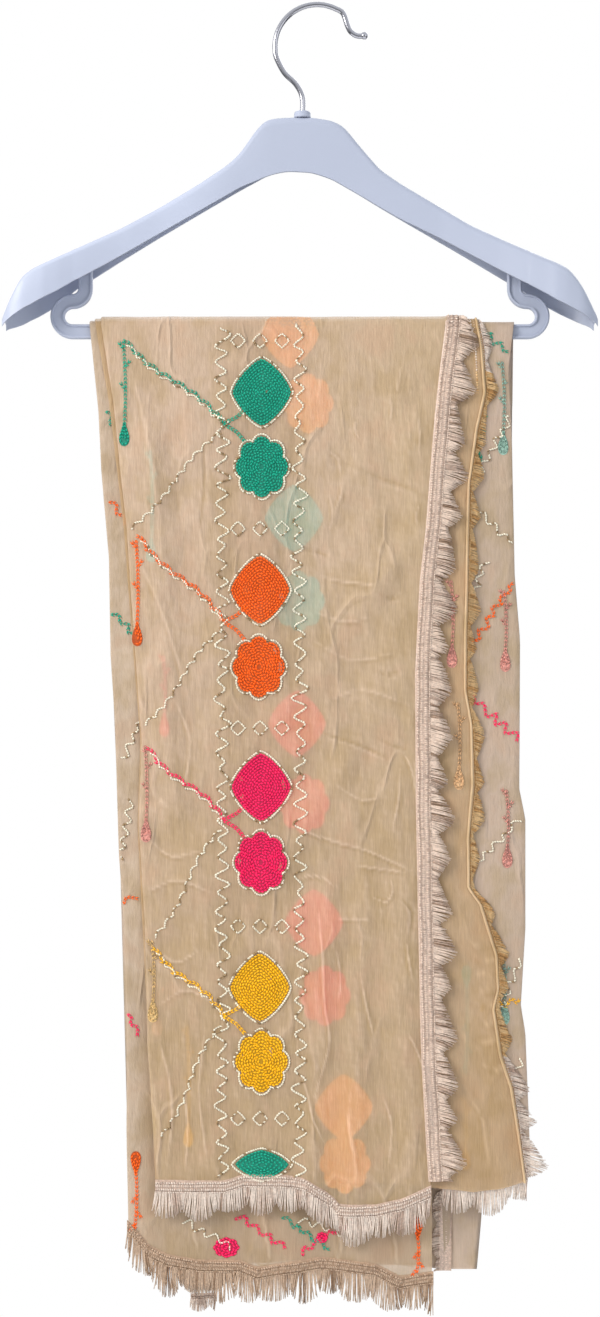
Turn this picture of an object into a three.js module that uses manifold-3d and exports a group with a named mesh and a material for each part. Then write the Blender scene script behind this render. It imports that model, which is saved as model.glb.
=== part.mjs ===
// A sheer chiffon dupatta with fringed lace edges, folded lengthwise in four and once across,
// hung over the trouser bar of a plastic hanger with a chromed wire hook.
//
// Millimetres, +Z up. The front is towards -Y and the origin is the inside of the hook's top,
// where a rail would carry the hanger. The hanger's own centre line lies to the left of that.

import * as THREE from 'three';
import { mergeVertices } from 'three/addons/utils/BufferGeometryUtils.js';
import Module from 'manifold-3d';

const manifoldLibrary = await Module();
manifoldLibrary.setup();

// ---------------------------------------------------------------- driving dimensions

const HOOK_OFFSET = 11.4;          // the hook's top stands this far right of the hanger's centre
const HANGER_DROP = 3.4;           // the hanger and the cloth hang this far below their tables
const WIRE_DIAMETER = 3.6;
const HOOK_RADIUS = 27.9;          // centre line of the hook's round part
const HOOK_BALL_DIAMETER = 5;
const WIRE_SIDES = 4;               // for each half of the wire's section
const WIRE_STEPS = 46;

const COLLAR_RADIUS = 5.6;
const COLLAR_HEIGHT = 4.2;
const HANGER_TOP = -70.3;          // flat top of the hanger's middle
const HANGER_WALL = 2.2;           // thickness of the moulded channel

const BAR_HEIGHT = 9.6;
const BAR_DEPTH = 5.4;
const BAR_TOP = -206.8;
const BAR_CORNER = 1.2;            // chamfer along the rims
const BAR_RIM = 1.5;               // raised rim along both sides of the bar and its brackets
const BAR_RECESS = 1.2;            // how far the web lies below the rims
const BRACKET_X = 142;             // the brackets' straight stems
const BRACKET_TOP = -163;
const BRACKET_UPPER_RADIUS = 8.4;
const BRACKET_LOWER_RADIUS = 10;
const BRACKET_ARC_STEPS = 4;

const GAP = 0.3;                   // between pieces that touch
const HEM_GAP = 0.4;               // more of it along the wavy hems
const CORNER_GAP = 1.5;            // and at the low corner of the cross fold
const CAP_LENGTH = 7;              // cloth from the crest of the bar to where it hangs plumb
const TURN_RADIUS = 3.5;           // the round that the cloth turns on, just clear of the bar
const TURN_CENTRE = -209.9;
const CREST_ROWS = [2.5, 5, CAP_LENGTH, 16, 26];
const FRONT_CREST = 0.15;          // where the front and rear stretches part on the crest
const SETTLE_LENGTH = 60;          // folds come to their full height this far below the bar
const FOLD_RISE = 45;              // length over which a fold rises at its ends
const EDGE_SHARE = 0.008;          // the outermost columns, close in, round off an edge
const FLAT_EDGE = { width: 5, height: 0 };
const FOLDED_EDGE = { width: 4.5, height: 1.6 };
const LAYER_LIPS = [0, 5, 1.5, 6, 2.5];   // how far in each hidden fold lies from the outermost
const LAYER_INSET = 3;

const FRINGE_START = 13;           // the side fringes begin just below the turn
const LACE_WIDTH = 7.4;
const LACE_THICKNESS = 1.5;
const THIN_LACE = 1;
const FRINGE_LENGTH = 15;
const LOCK = {
  root: 0.42,                      // half its width at the root, as a share of its spacing
  tip: 0.15,
  gather: 0.42,                    // how far its tip leans to the middle of its scallop
  middle: 0.62,                    // where that middle lies along the scallop
  shortest: 0.5,                   // the locks beside a notch, as a share of the longest
  rooted: 1.6,                     // how deep it sits in the lace
};

// ---------------------------------------------------------------- outlines of the cloth
// path is measured along the cloth from the crest of the bar, downwards

const FRONT_LEFT_FOLD = [
  { path: 0, x: -132 }, { path: 55, x: -123 }, { path: 139, x: -114 }, { path: 213, x: -109 },
  { path: 278, x: -104 }, { path: 334, x: -106 }, { path: 397, x: -102 }, { path: 482, x: -100 },
  { path: 571, x: -94 },
];
const FRONT_LACE_EDGE = [
  { path: 0, x: 97.5 }, { path: 31, x: 93.5 }, { path: 65, x: 89.5 }, { path: 102, x: 86.5 },
  { path: 140, x: 83.5 }, { path: 175, x: 79.5 }, { path: 235, x: 76.5 }, { path: 318, x: 77 },
  { path: 400, x: 78.5 }, { path: 471, x: 80 }, { path: 507, x: 81.5 }, { path: 571, x: 85.5 },
];
const SECOND_LACE_EDGE = [
  { path: 0, x: 117 }, { path: 22, x: 121 }, { path: 50, x: 123 }, { path: 75, x: 117 },
  { path: 110, x: 112 }, { path: 213, x: 110 }, { path: 246, x: 109.5 }, { path: 269, x: 113.5 },
  { path: 308, x: 115 }, { path: 344, x: 111.5 }, { path: 376, x: 112 }, { path: 387, x: 120 },
  { path: 420, x: 130 }, { path: 443, x: 131 }, { path: 455, x: 128 }, { path: 486, x: 133 },
  { path: 507, x: 140 }, { path: 569, x: 149 },
];
const RIGHT_FOLD = [
  { path: 0, x: 142 }, { path: 35, x: 138 }, { path: 75, x: 140 }, { path: 170, x: 142 },
  { path: 213, x: 145.5 }, { path: 311, x: 145 }, { path: 331, x: 149 }, { path: 403, x: 149 },
  { path: 454, x: 146 }, { path: 472, x: 149 }, { path: 570, x: 153 },
];
const LOWER_LEFT_FOLD = [
  { path: 0, x: -139.5 }, { path: 62, x: -133 }, { path: 102, x: -131 }, { path: 159, x: -126 },
  { path: 223, x: -125 }, { path: 267, x: -122 }, { path: 354, x: -119.5 }, { path: 401, x: -116 },
  { path: 471, x: -114 }, { path: 537, x: -114.5 }, { path: 610, x: -113 },
];
const REAR_LEFT_FOLD = [
  { path: 0, x: -139 }, { path: 160, x: -124 }, { path: 355, x: -117 }, { path: 500, x: -111 },
  { path: 640, x: -107 },
];
const REAR_LACE_EDGE = [
  { path: 0, x: 97.5 }, { path: 150, x: 88 }, { path: 300, x: 84 }, { path: 450, x: 82 },
  { path: 640, x: 76 },
];
const REAR_SECOND_EDGE = [
  { path: 0, x: 118 }, { path: 150, x: 113 }, { path: 300, x: 114 }, { path: 450, x: 108 },
  { path: 640, x: 99 },
];
const REAR_RIGHT_FOLD = [
  { path: 0, x: 142 }, { path: 200, x: 140 }, { path: 400, x: 134 }, { path: 640, x: 118 },
];

const FRONT_HEM = [
  { x: -94, path: 568 }, { x: -49, path: 568 }, { x: -37, path: 564 }, { x: -13, path: 564 },
  { x: 3, path: 566 }, { x: 20, path: 577 }, { x: 26, path: 584 }, { x: 50, path: 584 },
  { x: 66, path: 580 }, { x: 86, path: 571 },
];
const SECOND_HEM = [
  { x: 60, path: 570 }, { x: 96, path: 574 }, { x: 114, path: 576 }, { x: 131, path: 574 },
  { x: 149, path: 569 },
];
const END_HEM = [
  { x: -113, path: 596 }, { x: -107, path: 603 }, { x: -100, path: 612 }, { x: -88, path: 618 },
  { x: -67, path: 622 }, { x: -40, path: 622 }, { x: -28, path: 627 }, { x: -13, path: 624 },
  { x: 13, path: 620 }, { x: 49, path: 624 }, { x: 66, path: 633 }, { x: 87, path: 630 },
];
const CROSS_FOLD = [
  { x: -107, path: 618 }, { x: -90, path: 628 }, { x: -82, path: 639 }, { x: -74, path: 648 },
  { x: -54, path: 648 }, { x: -46, path: 639 }, { x: -36, path: 630 }, { x: 0, path: 628 },
  { x: 66, path: 630 }, { x: 93, path: 634 }, { x: 118, path: 634 },
];
const INNER_FRONT_HEM = 560;       // hidden layers stop just above the front hems
const INNER_REAR_RISE = 4;         // and this far above the cross fold
const SHAPED_HEM_FROM = 600;       // rows of the hidden layers below this follow the cross fold
const SECOND_LEFT = 60;            // the second layer shows from the outer one's lace edge
const SECOND_END_RIGHT = 87;
const REAR_SECOND_HEM = 629;

// Depth of each layer: offset is its inner face beyond the bar's face, thick its thickness.
const INNER_DEPTH = [
  { path: 0, offset: 0.3, thick: 1 }, { path: 24, offset: 0.4, thick: 1.5 },
  { path: 75, offset: -2.2, thick: 5 }, { path: 400, offset: -2.3, thick: 5.6 },
  { path: 660, offset: -1.6, thick: 4.2 },
];
const SECOND_END_DEPTH = [
  { path: 0, offset: 1.6, thick: 1 }, { path: 24, offset: 2.4, thick: 1.1 },
  { path: 75, offset: 3.8, thick: 1.2 }, { path: 400, offset: 4.2, thick: 1.2 },
  { path: 660, offset: 2.6, thick: 1.2 },
];
const SECOND_DEPTH = [
  { path: 0, offset: 2.9, thick: 1 }, { path: 24, offset: 4.1, thick: 1.1 },
  { path: 75, offset: 6.4, thick: 1.2 }, { path: 400, offset: 7.4, thick: 1.2 },
  { path: 660, offset: 7, thick: 1.2 },
];
const FRONT_DEPTH = [
  { path: 0, offset: 4.3, thick: 1 }, { path: 24, offset: 5.9, thick: 1.1 },
  { path: 75, offset: 9.2, thick: 1.2 }, { path: 400, offset: 11.2, thick: 1.2 },
  { path: 660, offset: 10.2, thick: 1.2 },
];
const REAR_SECOND_DEPTH = [
  { path: 0, offset: 2.9, thick: 1 }, { path: 24, offset: 3.2, thick: 1.1 },
  { path: 75, offset: 4.4, thick: 1.2 }, { path: 660, offset: 4.6, thick: 1.2 },
];
const REAR_DEPTH = [
  { path: 0, offset: 4.3, thick: 1 }, { path: 24, offset: 5.3, thick: 1.1 },
  { path: 75, offset: 7.4, thick: 1.2 }, { path: 660, offset: 7.8, thick: 1.2 },
];

// Soft folds: a ridge from (x, path from) leaning sideways by lean on its way down to path to.
const FRONT_FOLDS = [
  { x: -96, lean: 12, from: 60, to: 330, width: 9, height: 2.6 },
  { x: -64, lean: 10, from: 300, to: 565, width: 12, height: 1.8 },
  { x: 20, lean: -14, from: 360, to: 600, width: 8, height: 2.8 },
  { x: 42, lean: -8, from: 380, to: 600, width: 7, height: 2.2 },
  { x: 70, lean: -86, from: 150, to: 270, width: 11, height: 1.9 },
  { x: 58, lean: -64, from: 250, to: 350, width: 10, height: 2 },
  { x: 66, lean: 6, from: 380, to: 580, width: 10, height: 2.2 },
  { x: -12, lean: 8, from: 90, to: 300, width: 16, height: 1.4 },
];
const SECOND_FOLDS = [
  { x: 106, lean: 3, from: 110, to: 260, width: 6, height: 1.1 },
  { x: 124, lean: 10, from: 400, to: 580, width: 8, height: 1.6 },
];
const SECOND_END_FOLDS = [
  { x: -112, lean: 8, from: 60, to: 420, width: 6, height: 1.1 },
  { x: -20, lean: 16, from: 560, to: 640, width: 14, height: 2 },
  { x: 50, lean: -10, from: 570, to: 640, width: 12, height: 2.4 },
];
const REAR_FOLDS = [
  { x: -88, lean: 14, from: 80, to: 420, width: 11, height: 2.2 },
  { x: -38, lean: 12, from: 220, to: 660, width: 10, height: 2.6 },
  { x: 8, lean: -12, from: 330, to: 660, width: 9, height: 2.8 },
  { x: 70, lean: -96, from: 140, to: 270, width: 11, height: 1.8 },
  { x: 54, lean: -14, from: 400, to: 660, width: 9, height: 2.2 },
];

const INNER_EDGE = [{ path: 567, x: 100 }, { path: 634, x: 99 }];   // lace inside the cross fold
const INNER_EDGE_DEPTH = [{ path: 0, offset: -3.4, thick: 1 }, { path: 660, offset: -3.4, thick: 1 }];

// ---------------------------------------------------------------- the hanger's outline
// top and bottom of the channel, its half depth, how far forward the arm bows, and how far
// the rear wall's lower edge lies above the front one's

const HANGER_SECTIONS = [
  { x: -195, top: -204.5, bottom: -210.5, half: 11, bow: 7, lift: 0 },
  { x: -193, top: -199.6, bottom: -208.2, half: 14.5, bow: 6.8, lift: 0 },
  { x: -190, top: -192.7, bottom: -205.9, half: 17.5, bow: 6.4, lift: -1.5 },
  { x: -184.8, top: -182.8, bottom: -202.5, half: 20, bow: 6, lift: -2.5 },
  { x: -180.9, top: -177.1, bottom: -200, half: 21.2, bow: 5.6, lift: -2.5 },
  { x: -175, top: -172.6, bottom: -197, half: 22, bow: 5, lift: -2.5 },
  { x: -167.8, top: -169, bottom: -192.8, half: 22, bow: 4.8, lift: -2.5 },
  { x: -157.5, top: -163.8, bottom: -187.2, half: 20, bow: 4, lift: -1.5 },
  { x: -151.1, top: -160.7, bottom: -182.9, half: 18, bow: 3.6, lift: 0 },
  { x: -131.7, top: -151.1, bottom: -171.4, half: 13, bow: 2.6, lift: 0 },
  { x: -118.7, top: -144.9, bottom: -163.6, half: 10.5, bow: 2, lift: 0 },
  { x: -92.4, top: -130.2, bottom: -147.8, half: 8, bow: 0.9, lift: 0 },
  { x: -66.1, top: -114.1, bottom: -132.4, half: 7, bow: 0.4, lift: 0 },
  { x: -47.6, top: -101.5, bottom: -121.7, half: 6.4, bow: 0.2, lift: 0 },
  { x: -39.7, top: -94.2, bottom: -117, half: 6.2, bow: 0, lift: 0 },
  { x: -29.1, top: -78.8, bottom: -112.6, half: 6, bow: 0, lift: 1.2 },
  { x: -23.8, top: -72.9, bottom: -110.4, half: 6, bow: 0, lift: 2 },
  { x: -18.5, top: -71.1, bottom: -108.3, half: 6, bow: 0, lift: 2 },
  { x: -8, top: HANGER_TOP, bottom: -106.3, half: 6, bow: 0, lift: 2 },
  { x: 8, top: HANGER_TOP, bottom: -107.2, half: 6, bow: 0, lift: 2 },
  { x: 21.2, top: -72.4, bottom: -111.6, half: 6, bow: 0, lift: 2 },
  { x: 29.1, top: -76.4, bottom: -116.2, half: 6, bow: 0, lift: 2 },
  { x: 39.7, top: -89.6, bottom: -122.2, half: 6.2, bow: 0, lift: 2 },
  { x: 52.9, top: -104.9, bottom: -130.3, half: 6.6, bow: 0.2, lift: 2 },
  { x: 66.1, top: -114.1, bottom: -138, half: 7, bow: 0.4, lift: 2 },
  { x: 92.4, top: -130, bottom: -151.1, half: 8, bow: 0.9, lift: 0 },
  { x: 112.1, top: -142.2, bottom: -162.2, half: 10.5, bow: 1.6, lift: 0 },
  { x: 131.7, top: -151.7, bottom: -173.4, half: 13.5, bow: 2.6, lift: 0 },
  { x: 151.1, top: -160.8, bottom: -184.2, half: 18, bow: 3.6, lift: 0 },
  { x: 160.8, top: -165.3, bottom: -189.8, half: 20, bow: 4.2, lift: 0 },
  { x: 167.2, top: -168.3, bottom: -194, half: 21.5, bow: 4.8, lift: 0 },
  { x: 173.7, top: -171.5, bottom: -197.4, half: 22, bow: 5, lift: 0 },
  { x: 178.3, top: -175.5, bottom: -199.9, half: 21, bow: 5.6, lift: 0 },
  { x: 183.5, top: -182.5, bottom: -202.5, half: 20, bow: 6, lift: 0 },
  { x: 187.5, top: -189, bottom: -204.8, half: 18, bow: 6.4, lift: 0 },
  { x: 190.2, top: -194.6, bottom: -206.1, half: 16, bow: 6.6, lift: 0 },
  { x: 193, top: -200.1, bottom: -207.8, half: 13, bow: 6.9, lift: 0 },
  { x: 195, top: -204.5, bottom: -210.5, half: 11, bow: 7, lift: 0 },
];
const HOOK_STEM = [
  { x: 1.6, z: HANGER_TOP + GAP - HANGER_DROP }, { x: 1.6, z: -60 }, { x: -2.6, z: -51.2 },
  { x: -10.2, z: -43.6 },
];
const HOOK_ROUND = { from: 196, to: 52, step: 12 };   // degrees, counter-clockwise from +X
const HOOK_TAIL = [
  { x: 31.6, z: -12.5 }, { x: 34, z: -16.6 }, { x: 38, z: -19 }, { x: 42.6, z: -18.9 },
];

// ---------------------------------------------------------------- materials

const plastic = () => new THREE.MeshStandardMaterial({ color: 0xc3cbe4, roughness: 0.5, metalness: 0 });
const chrome = () => new THREE.MeshStandardMaterial({ color: 0xc9cbd0, roughness: 0.18, metalness: 1 });
const chiffon = (color) => new THREE.MeshStandardMaterial({ color, roughness: 0.8, metalness: 0 });
const lace = () => new THREE.MeshStandardMaterial({ color: 0xd9c7ba, roughness: 0.6, metalness: 0 });

// ---------------------------------------------------------------- small tools

const clamp = (value, low, high) => Math.min(high, Math.max(low, value));
const smooth = (value) => {
  const t = clamp(value, 0, 1);
  return t * t * (3 - 2 * t);
};
const mix = (a, b, t) => a + (b - a) * t;

// The named column of a table, at a value of its key column.
function read(table, key, value, column) {
  const last = table.length - 1;
  if (value <= table[0][key]) return table[0][column];
  if (value >= table[last][key]) return table[last][column];
  const next = table.findIndex((row) => row[key] >= value);
  const low = table[next - 1];
  const high = table[next];
  return mix(low[column], high[column], (value - low[key]) / (high[key] - low[key]));
}

// A closed body through rings of points; faces are the triangles that close one ring.
function loft(rings, faces) {
  const count = rings[0].length;
  const positions = rings.flat().flatMap((point) => [point.x, point.y, point.z]);
  const index = [];
  for (let ring = 0; ring < rings.length - 1; ring += 1) {
    for (let k = 0; k < count; k += 1) {
      const a = ring * count + k;
      const b = ring * count + ((k + 1) % count);
      index.push(a, b, b + count, a, b + count, a + count);
    }
  }
  const lastRing = (rings.length - 1) * count;
  for (const face of faces) index.push(face[2], face[1], face[0]);
  for (const face of faces) index.push(...face.map((corner) => corner + lastRing));
  if (signedVolume(positions, index) < 0) index.reverse();
  const geometry = new THREE.BufferGeometry();
  geometry.setAttribute('position', new THREE.Float32BufferAttribute(positions, 3));
  geometry.setIndex(index);
  geometry.computeVertexNormals();
  return geometry;
}

// Closes a long thin ring by joining the points that face each other, from one tip to the other.
function pairedFaces(count, tip) {
  const at = (k) => (tip + k + count) % count;
  const faces = [];
  for (let k = 0; k < count / 2 - 1; k += 1) faces.push([at(k), at(k + 1), at(-k - 1)]);
  for (let k = 1; k < count / 2; k += 1) faces.push([at(k), at(-k - 1), at(-k)]);
  return faces;
}

// Closes a ring by its flat outline, wound the same way as the outline.
function outlineFaces(outline) {
  const way = Math.sign(THREE.ShapeUtils.area(outline));
  return THREE.ShapeUtils.triangulateShape(outline, []).map((face) => {
    const corners = face.map((corner) => outline[corner]);
    return Math.sign(THREE.ShapeUtils.area(corners)) === way ? face : [...face].reverse();
  });
}

function signedVolume(positions, index) {
  const corner = (k) => new THREE.Vector3().fromArray(positions, 3 * index[k]);
  let volume = 0;
  for (let k = 0; k < index.length; k += 3) {
    volume += corner(k).dot(corner(k + 1).cross(corner(k + 2))) / 6;
  }
  return volume;
}

function toManifold(geometry) {
  const bare = geometry.clone();
  bare.deleteAttribute('normal');
  bare.deleteAttribute('uv');
  const merged = mergeVertices(bare, 1e-4);
  return new manifoldLibrary.Manifold(new manifoldLibrary.Mesh({
    numProp: 3,
    vertProperties: new Float32Array(merged.attributes.position.array),
    triVerts: new Uint32Array(merged.index.array),
  }));
}

function fuse(geometries) {
  const solids = geometries.map(toManifold);
  const mesh = manifoldLibrary.Manifold.union(solids).getMesh();
  const geometry = new THREE.BufferGeometry();
  geometry.setAttribute('position', new THREE.BufferAttribute(mesh.vertProperties, 3));
  geometry.setIndex(new THREE.BufferAttribute(mesh.triVerts, 1));
  geometry.computeVertexNormals();
  return geometry;
}

function piece(name, geometry, material) {
  const mesh = new THREE.Mesh(geometry, material);
  mesh.name = name;
  return mesh;
}

// ---------------------------------------------------------------- cloth over the bar

// A point of the cloth: x across, path from the crest (front positive, rear negative), and
// offset outwards from the bar's face. It turns round the bar's top and then hangs plumb.
function onBar(x, path, offset) {
  const radius = TURN_RADIUS + offset;
  const side = path < 0 ? 1 : -1;
  const length = Math.abs(path);
  if (length >= CAP_LENGTH) {
    return new THREE.Vector3(x, side * radius, TURN_CENTRE - (length - CAP_LENGTH));
  }
  const angle = (length / CAP_LENGTH) * (Math.PI / 2);
  return new THREE.Vector3(x, side * radius * Math.sin(angle), TURN_CENTRE + radius * Math.cos(angle));
}

function foldHeight(folds, x, path) {
  let height = 0;
  for (const fold of folds) {
    const along = (path - fold.from) / (fold.to - fold.from);
    const centre = fold.x + fold.lean * clamp(along, 0, 1);
    const begun = smooth((path - fold.from) / FOLD_RISE + 0.5);
    const unended = smooth((fold.to - path) / FOLD_RISE + 0.5);
    height += fold.height * begun * unended * Math.exp(-(((x - centre) / fold.width) ** 2));
  }
  return height;
}

// How far folds have come to their full height at a path.
const settledAt = (path) => smooth((path - CAP_LENGTH) / SETTLE_LENGTH);

// Rows of a stretch: a few round the bar's top, then even ones down to the hem.
function stretchRows(crest, legRows) {
  const cap = [crest, ...CREST_ROWS];
  const rows = cap.map((path) => ({ path, share: 0 }));
  for (let k = 1; k <= legRows; k += 1) rows.push({ path: cap[cap.length - 1], share: k / legRows });
  return rows;
}

// Columns across a stretch: close together at an edge, so that the wall rounds off there.
function stretchColumns(count) {
  const columns = [0, EDGE_SHARE];
  for (let k = 1; k < count; k += 1) columns.push(k / count);
  columns.push(1 - EDGE_SHARE, 1);
  return columns;
}

// One hanging stretch of cloth, as a wall through sections across it.
function clothStretch({ left, right, hem, depth, folds, side, crest, legRows, columns, bulge }) {
  const spread = stretchColumns(columns);
  const edgeAt = (edge, path) => (Array.isArray(edge) ? read(edge, 'path', path, 'x') : edge);
  const rings = [];
  for (const row of stretchRows(crest, legRows)) {
    const front = [];
    const back = [];
    spread.forEach((share, column) => {
      const hemPath = typeof hem === 'number' ? hem : hem[hem.length >> 1].path;
      const hemX = mix(edgeAt(left, hemPath), edgeAt(right, hemPath), share);
      const end = typeof hem === 'number' ? hem : read(hem, 'x', hemX, 'path');
      const path = mix(row.path, end, row.share);
      const x = mix(edgeAt(left, path), edgeAt(right, path), share);
      const fromLeft = (x - edgeAt(left, path)) / bulge.width;
      const settled = settledAt(path);
      const swell = bulge.height * settled * Math.exp(-((fromLeft - 0.6) ** 2));
      const half = read(depth, 'path', path, 'thick') / 2;
      const middle = read(depth, 'path', path, 'offset') + half + foldHeight(folds, x, path) * settled;
      if (column === 0 || column === spread.length - 1) {
        front.push(onBar(x, side * path, middle));
      } else {
        front.push(onBar(x, side * path, middle + half + swell));
        back.unshift(onBar(x, side * path, middle - half));
      }
    });
    rings.push([...front, ...back]);
  }
  return loft(rings, pairedFaces(rings[0].length, 0));
}

// The hidden layers as one body over the bar, with the lips of its folds down both sides.
function innerLayers() {
  const columns = 7;
  const stations = [];
  const frontRows = [16, 26, 45, 75, 150, 240, 320, 400, 480, INNER_FRONT_HEM];
  const rearRows = [16, 26, 45, 75, 160, 270, 380, 500, 640];
  for (const path of [...rearRows].reverse()) stations.push({ side: -1, path });
  for (const path of [CAP_LENGTH, 5, 2.5]) stations.push({ side: -1, path });
  for (const path of [0, 2.5, 5, CAP_LENGTH]) stations.push({ side: 1, path });
  for (const path of frontRows) stations.push({ side: 1, path });
  const rings = [];
  for (const { side, path } of stations) {
    const leftEdge = side < 0 ? REAR_LEFT_FOLD : LOWER_LEFT_FOLD;
    const rightEdge = side < 0 ? REAR_RIGHT_FOLD : RIGHT_FOLD;
    const left = read(leftEdge, 'path', path, 'x') + LAYER_INSET;
    const right = read(rightEdge, 'path', path, 'x');
    const inner = read(INNER_DEPTH, 'path', path, 'offset');
    const thick = read(INNER_DEPTH, 'path', path, 'thick');
    const lipDepth = (k) => (thick * (k + 1)) / (LAYER_LIPS.length + 1);
    const ring = [];
    for (let k = 0; k <= columns; k += 1) ring.push([mix(left, right - 1, k / columns), inner + thick]);
    LAYER_LIPS.forEach((lip, k) => ring.push([right - lip, inner + thick - lipDepth(k)]));
    for (let k = columns; k >= 0; k -= 1) ring.push([mix(left, right - 1, k / columns), inner]);
    LAYER_LIPS.forEach((lip, k) => ring.push([left - LAYER_INSET + lip, inner + lipDepth(k)]));
    const foldLine = (x) => read(CROSS_FOLD, 'x', x, 'path') - INNER_REAR_RISE;
    const rowPath = (x) => (path > SHAPED_HEM_FROM ? foldLine(x) : path);
    rings.push(ring.map(([x, offset]) => onBar(x, side * rowPath(x), offset)));
  }
  const middleLip = rings[0].length - 1 - (LAYER_LIPS.length >> 1);
  return loft(rings, pairedFaces(rings[0].length, middleLip));
}

// ---------------------------------------------------------------- lace and fringe

// A lace band beside an edge, with locks of fringe rooted in it. route(t) gives the edge's
// points, out the way from the cloth to the fringe tips in the same plane.
function fringedLace({
  route, out, side, depth, lift, stations, clear = 0, scallops, locks, longest, thin, band = LACE_WIDTH,
}) {
  const at = (t, away, offset) => {
    const edge = route(t);
    const path = edge.path + out.path * away;
    const x = edge.x + out.x * away;
    const base = read(depth, 'path', Math.min(edge.path, path), 'offset') + lift(x, edge.path);
    return onBar(x, side * path, base + offset);
  };
  const bandThick = thin ? THIN_LACE : LACE_THICKNESS;
  const rings = [];
  for (const t of stations) {
    rings.push([
      at(t, GAP, 0), at(t, GAP, bandThick),
      at(t, GAP + band, bandThick), at(t, GAP + band, 0),
    ]);
  }
  const square = pairedFaces(4, 0);
  const solids = [loft(rings, square)];
  const total = scallops * locks;
  for (let lock = 0; lock < total; lock += 1) {
    const scallop = Math.floor(lock / locks);
    const within = ((lock % locks) + 0.5) / locks;
    const root = mix(clear, 1, (lock + 0.5) / total);
    const tip = mix(root, mix(clear, 1, (scallop + LOCK.middle) / scallops), LOCK.gather);
    const fullness = Math.sin(Math.PI * (within * 0.8 + 0.1)) ** 2;
    const reach = longest * mix(LOCK.shortest, 1, fullness);
    const halfRoot = LOCK.root / total;
    const halfTip = LOCK.tip / total;
    const rootRow = band - LOCK.rooted;
    const tipRow = band + reach;
    const lockRing = (t, half, away, low, high) => [
      at(t - half, away, low), at(t - half, away, high),
      at(t + half, away, high), at(t + half, away, low),
    ];
    solids.push(loft([
      lockRing(root, halfRoot, rootRow, 0.15, bandThick - 0.15),
      lockRing(tip, halfTip, tipRow, 0.2, 0.8),
    ], square));
  }
  return fuse(solids);
}

const evenSteps = (count) => Array.from({ length: count + 1 }, (_, k) => k / count);

// The lace down a side edge, its fringe pointing sideways.
function sideLace({
  edge, side, depth, folds, from, to, inset = 0, scallops, locks, longest, thin, way = 1,
  start = FRINGE_START,
}) {
  const turn = CREST_ROWS.filter((path) => path > from).map((path) => (path - from) / (to - from));
  return fringedLace({
    route: (t) => {
      const path = mix(from, to, t);
      return { path, x: read(edge, 'path', path, 'x') - inset };
    },
    out: { x: way, path: 0 },
    side,
    depth,
    lift: (x, path) => foldHeight(folds, x, path) * settledAt(path),
    clear: (start - from) / (to - from),
    stations: [0, ...turn, ...evenSteps(2 * scallops).filter((t) => t > Math.max(0, ...turn) + 0.01)],
    scallops,
    locks,
    longest,
    thin,
  });
}

// The lace along a hem, its fringe pointing down; columns are those of the cloth above it.
function hemLace({
  hem, side, depth, folds, from, to, columns, scallops, locks, longest, thin, band, gap = HEM_GAP,
}) {
  return fringedLace({
    route: (t) => {
      const x = mix(from, to, t);
      return { path: read(hem, 'x', x, 'path') + gap, x };
    },
    out: { x: 0, path: 1 },
    side,
    depth,
    lift: (x, path) => foldHeight(folds, x, path) * settledAt(path),
    stations: evenSteps(columns),
    scallops,
    locks,
    longest,
    thin,
    band,
  });
}

// ---------------------------------------------------------------- the hanger

// The moulded body: an arched channel, open underneath, deep at the shoulders.
function hangerBody() {
  const rings = HANGER_SECTIONS.map((section) => {
    const wall = Math.min(HANGER_WALL, section.half / 4, (section.top - section.bottom) / 4);
    const { half, top, bottom, bow, lift, x } = section;
    const height = top - bottom;
    const shoulder = Math.min(5, height * 0.35);
    const profile = [
      [-half, bottom], [-half, top - shoulder], [-half * 0.78, top - shoulder * 0.3], [-half * 0.4, top],
      [half * 0.4, top], [half * 0.78, top - shoulder * 0.3], [half, top - shoulder], [half, bottom + lift],
      [half - wall, bottom + lift], [half - wall, top - shoulder - wall * 0.4],
      [half * 0.4, top - wall], [-half * 0.4, top - wall],
      [wall - half, top - shoulder - wall * 0.4], [wall - half, bottom],
    ];
    return profile.map(([y, z]) => new THREE.Vector3(x, y - bow, z));
  });
  return loft(rings, outlineFaces(rings[0].map((point) => new THREE.Vector2(point.y, point.z))));
}

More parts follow.
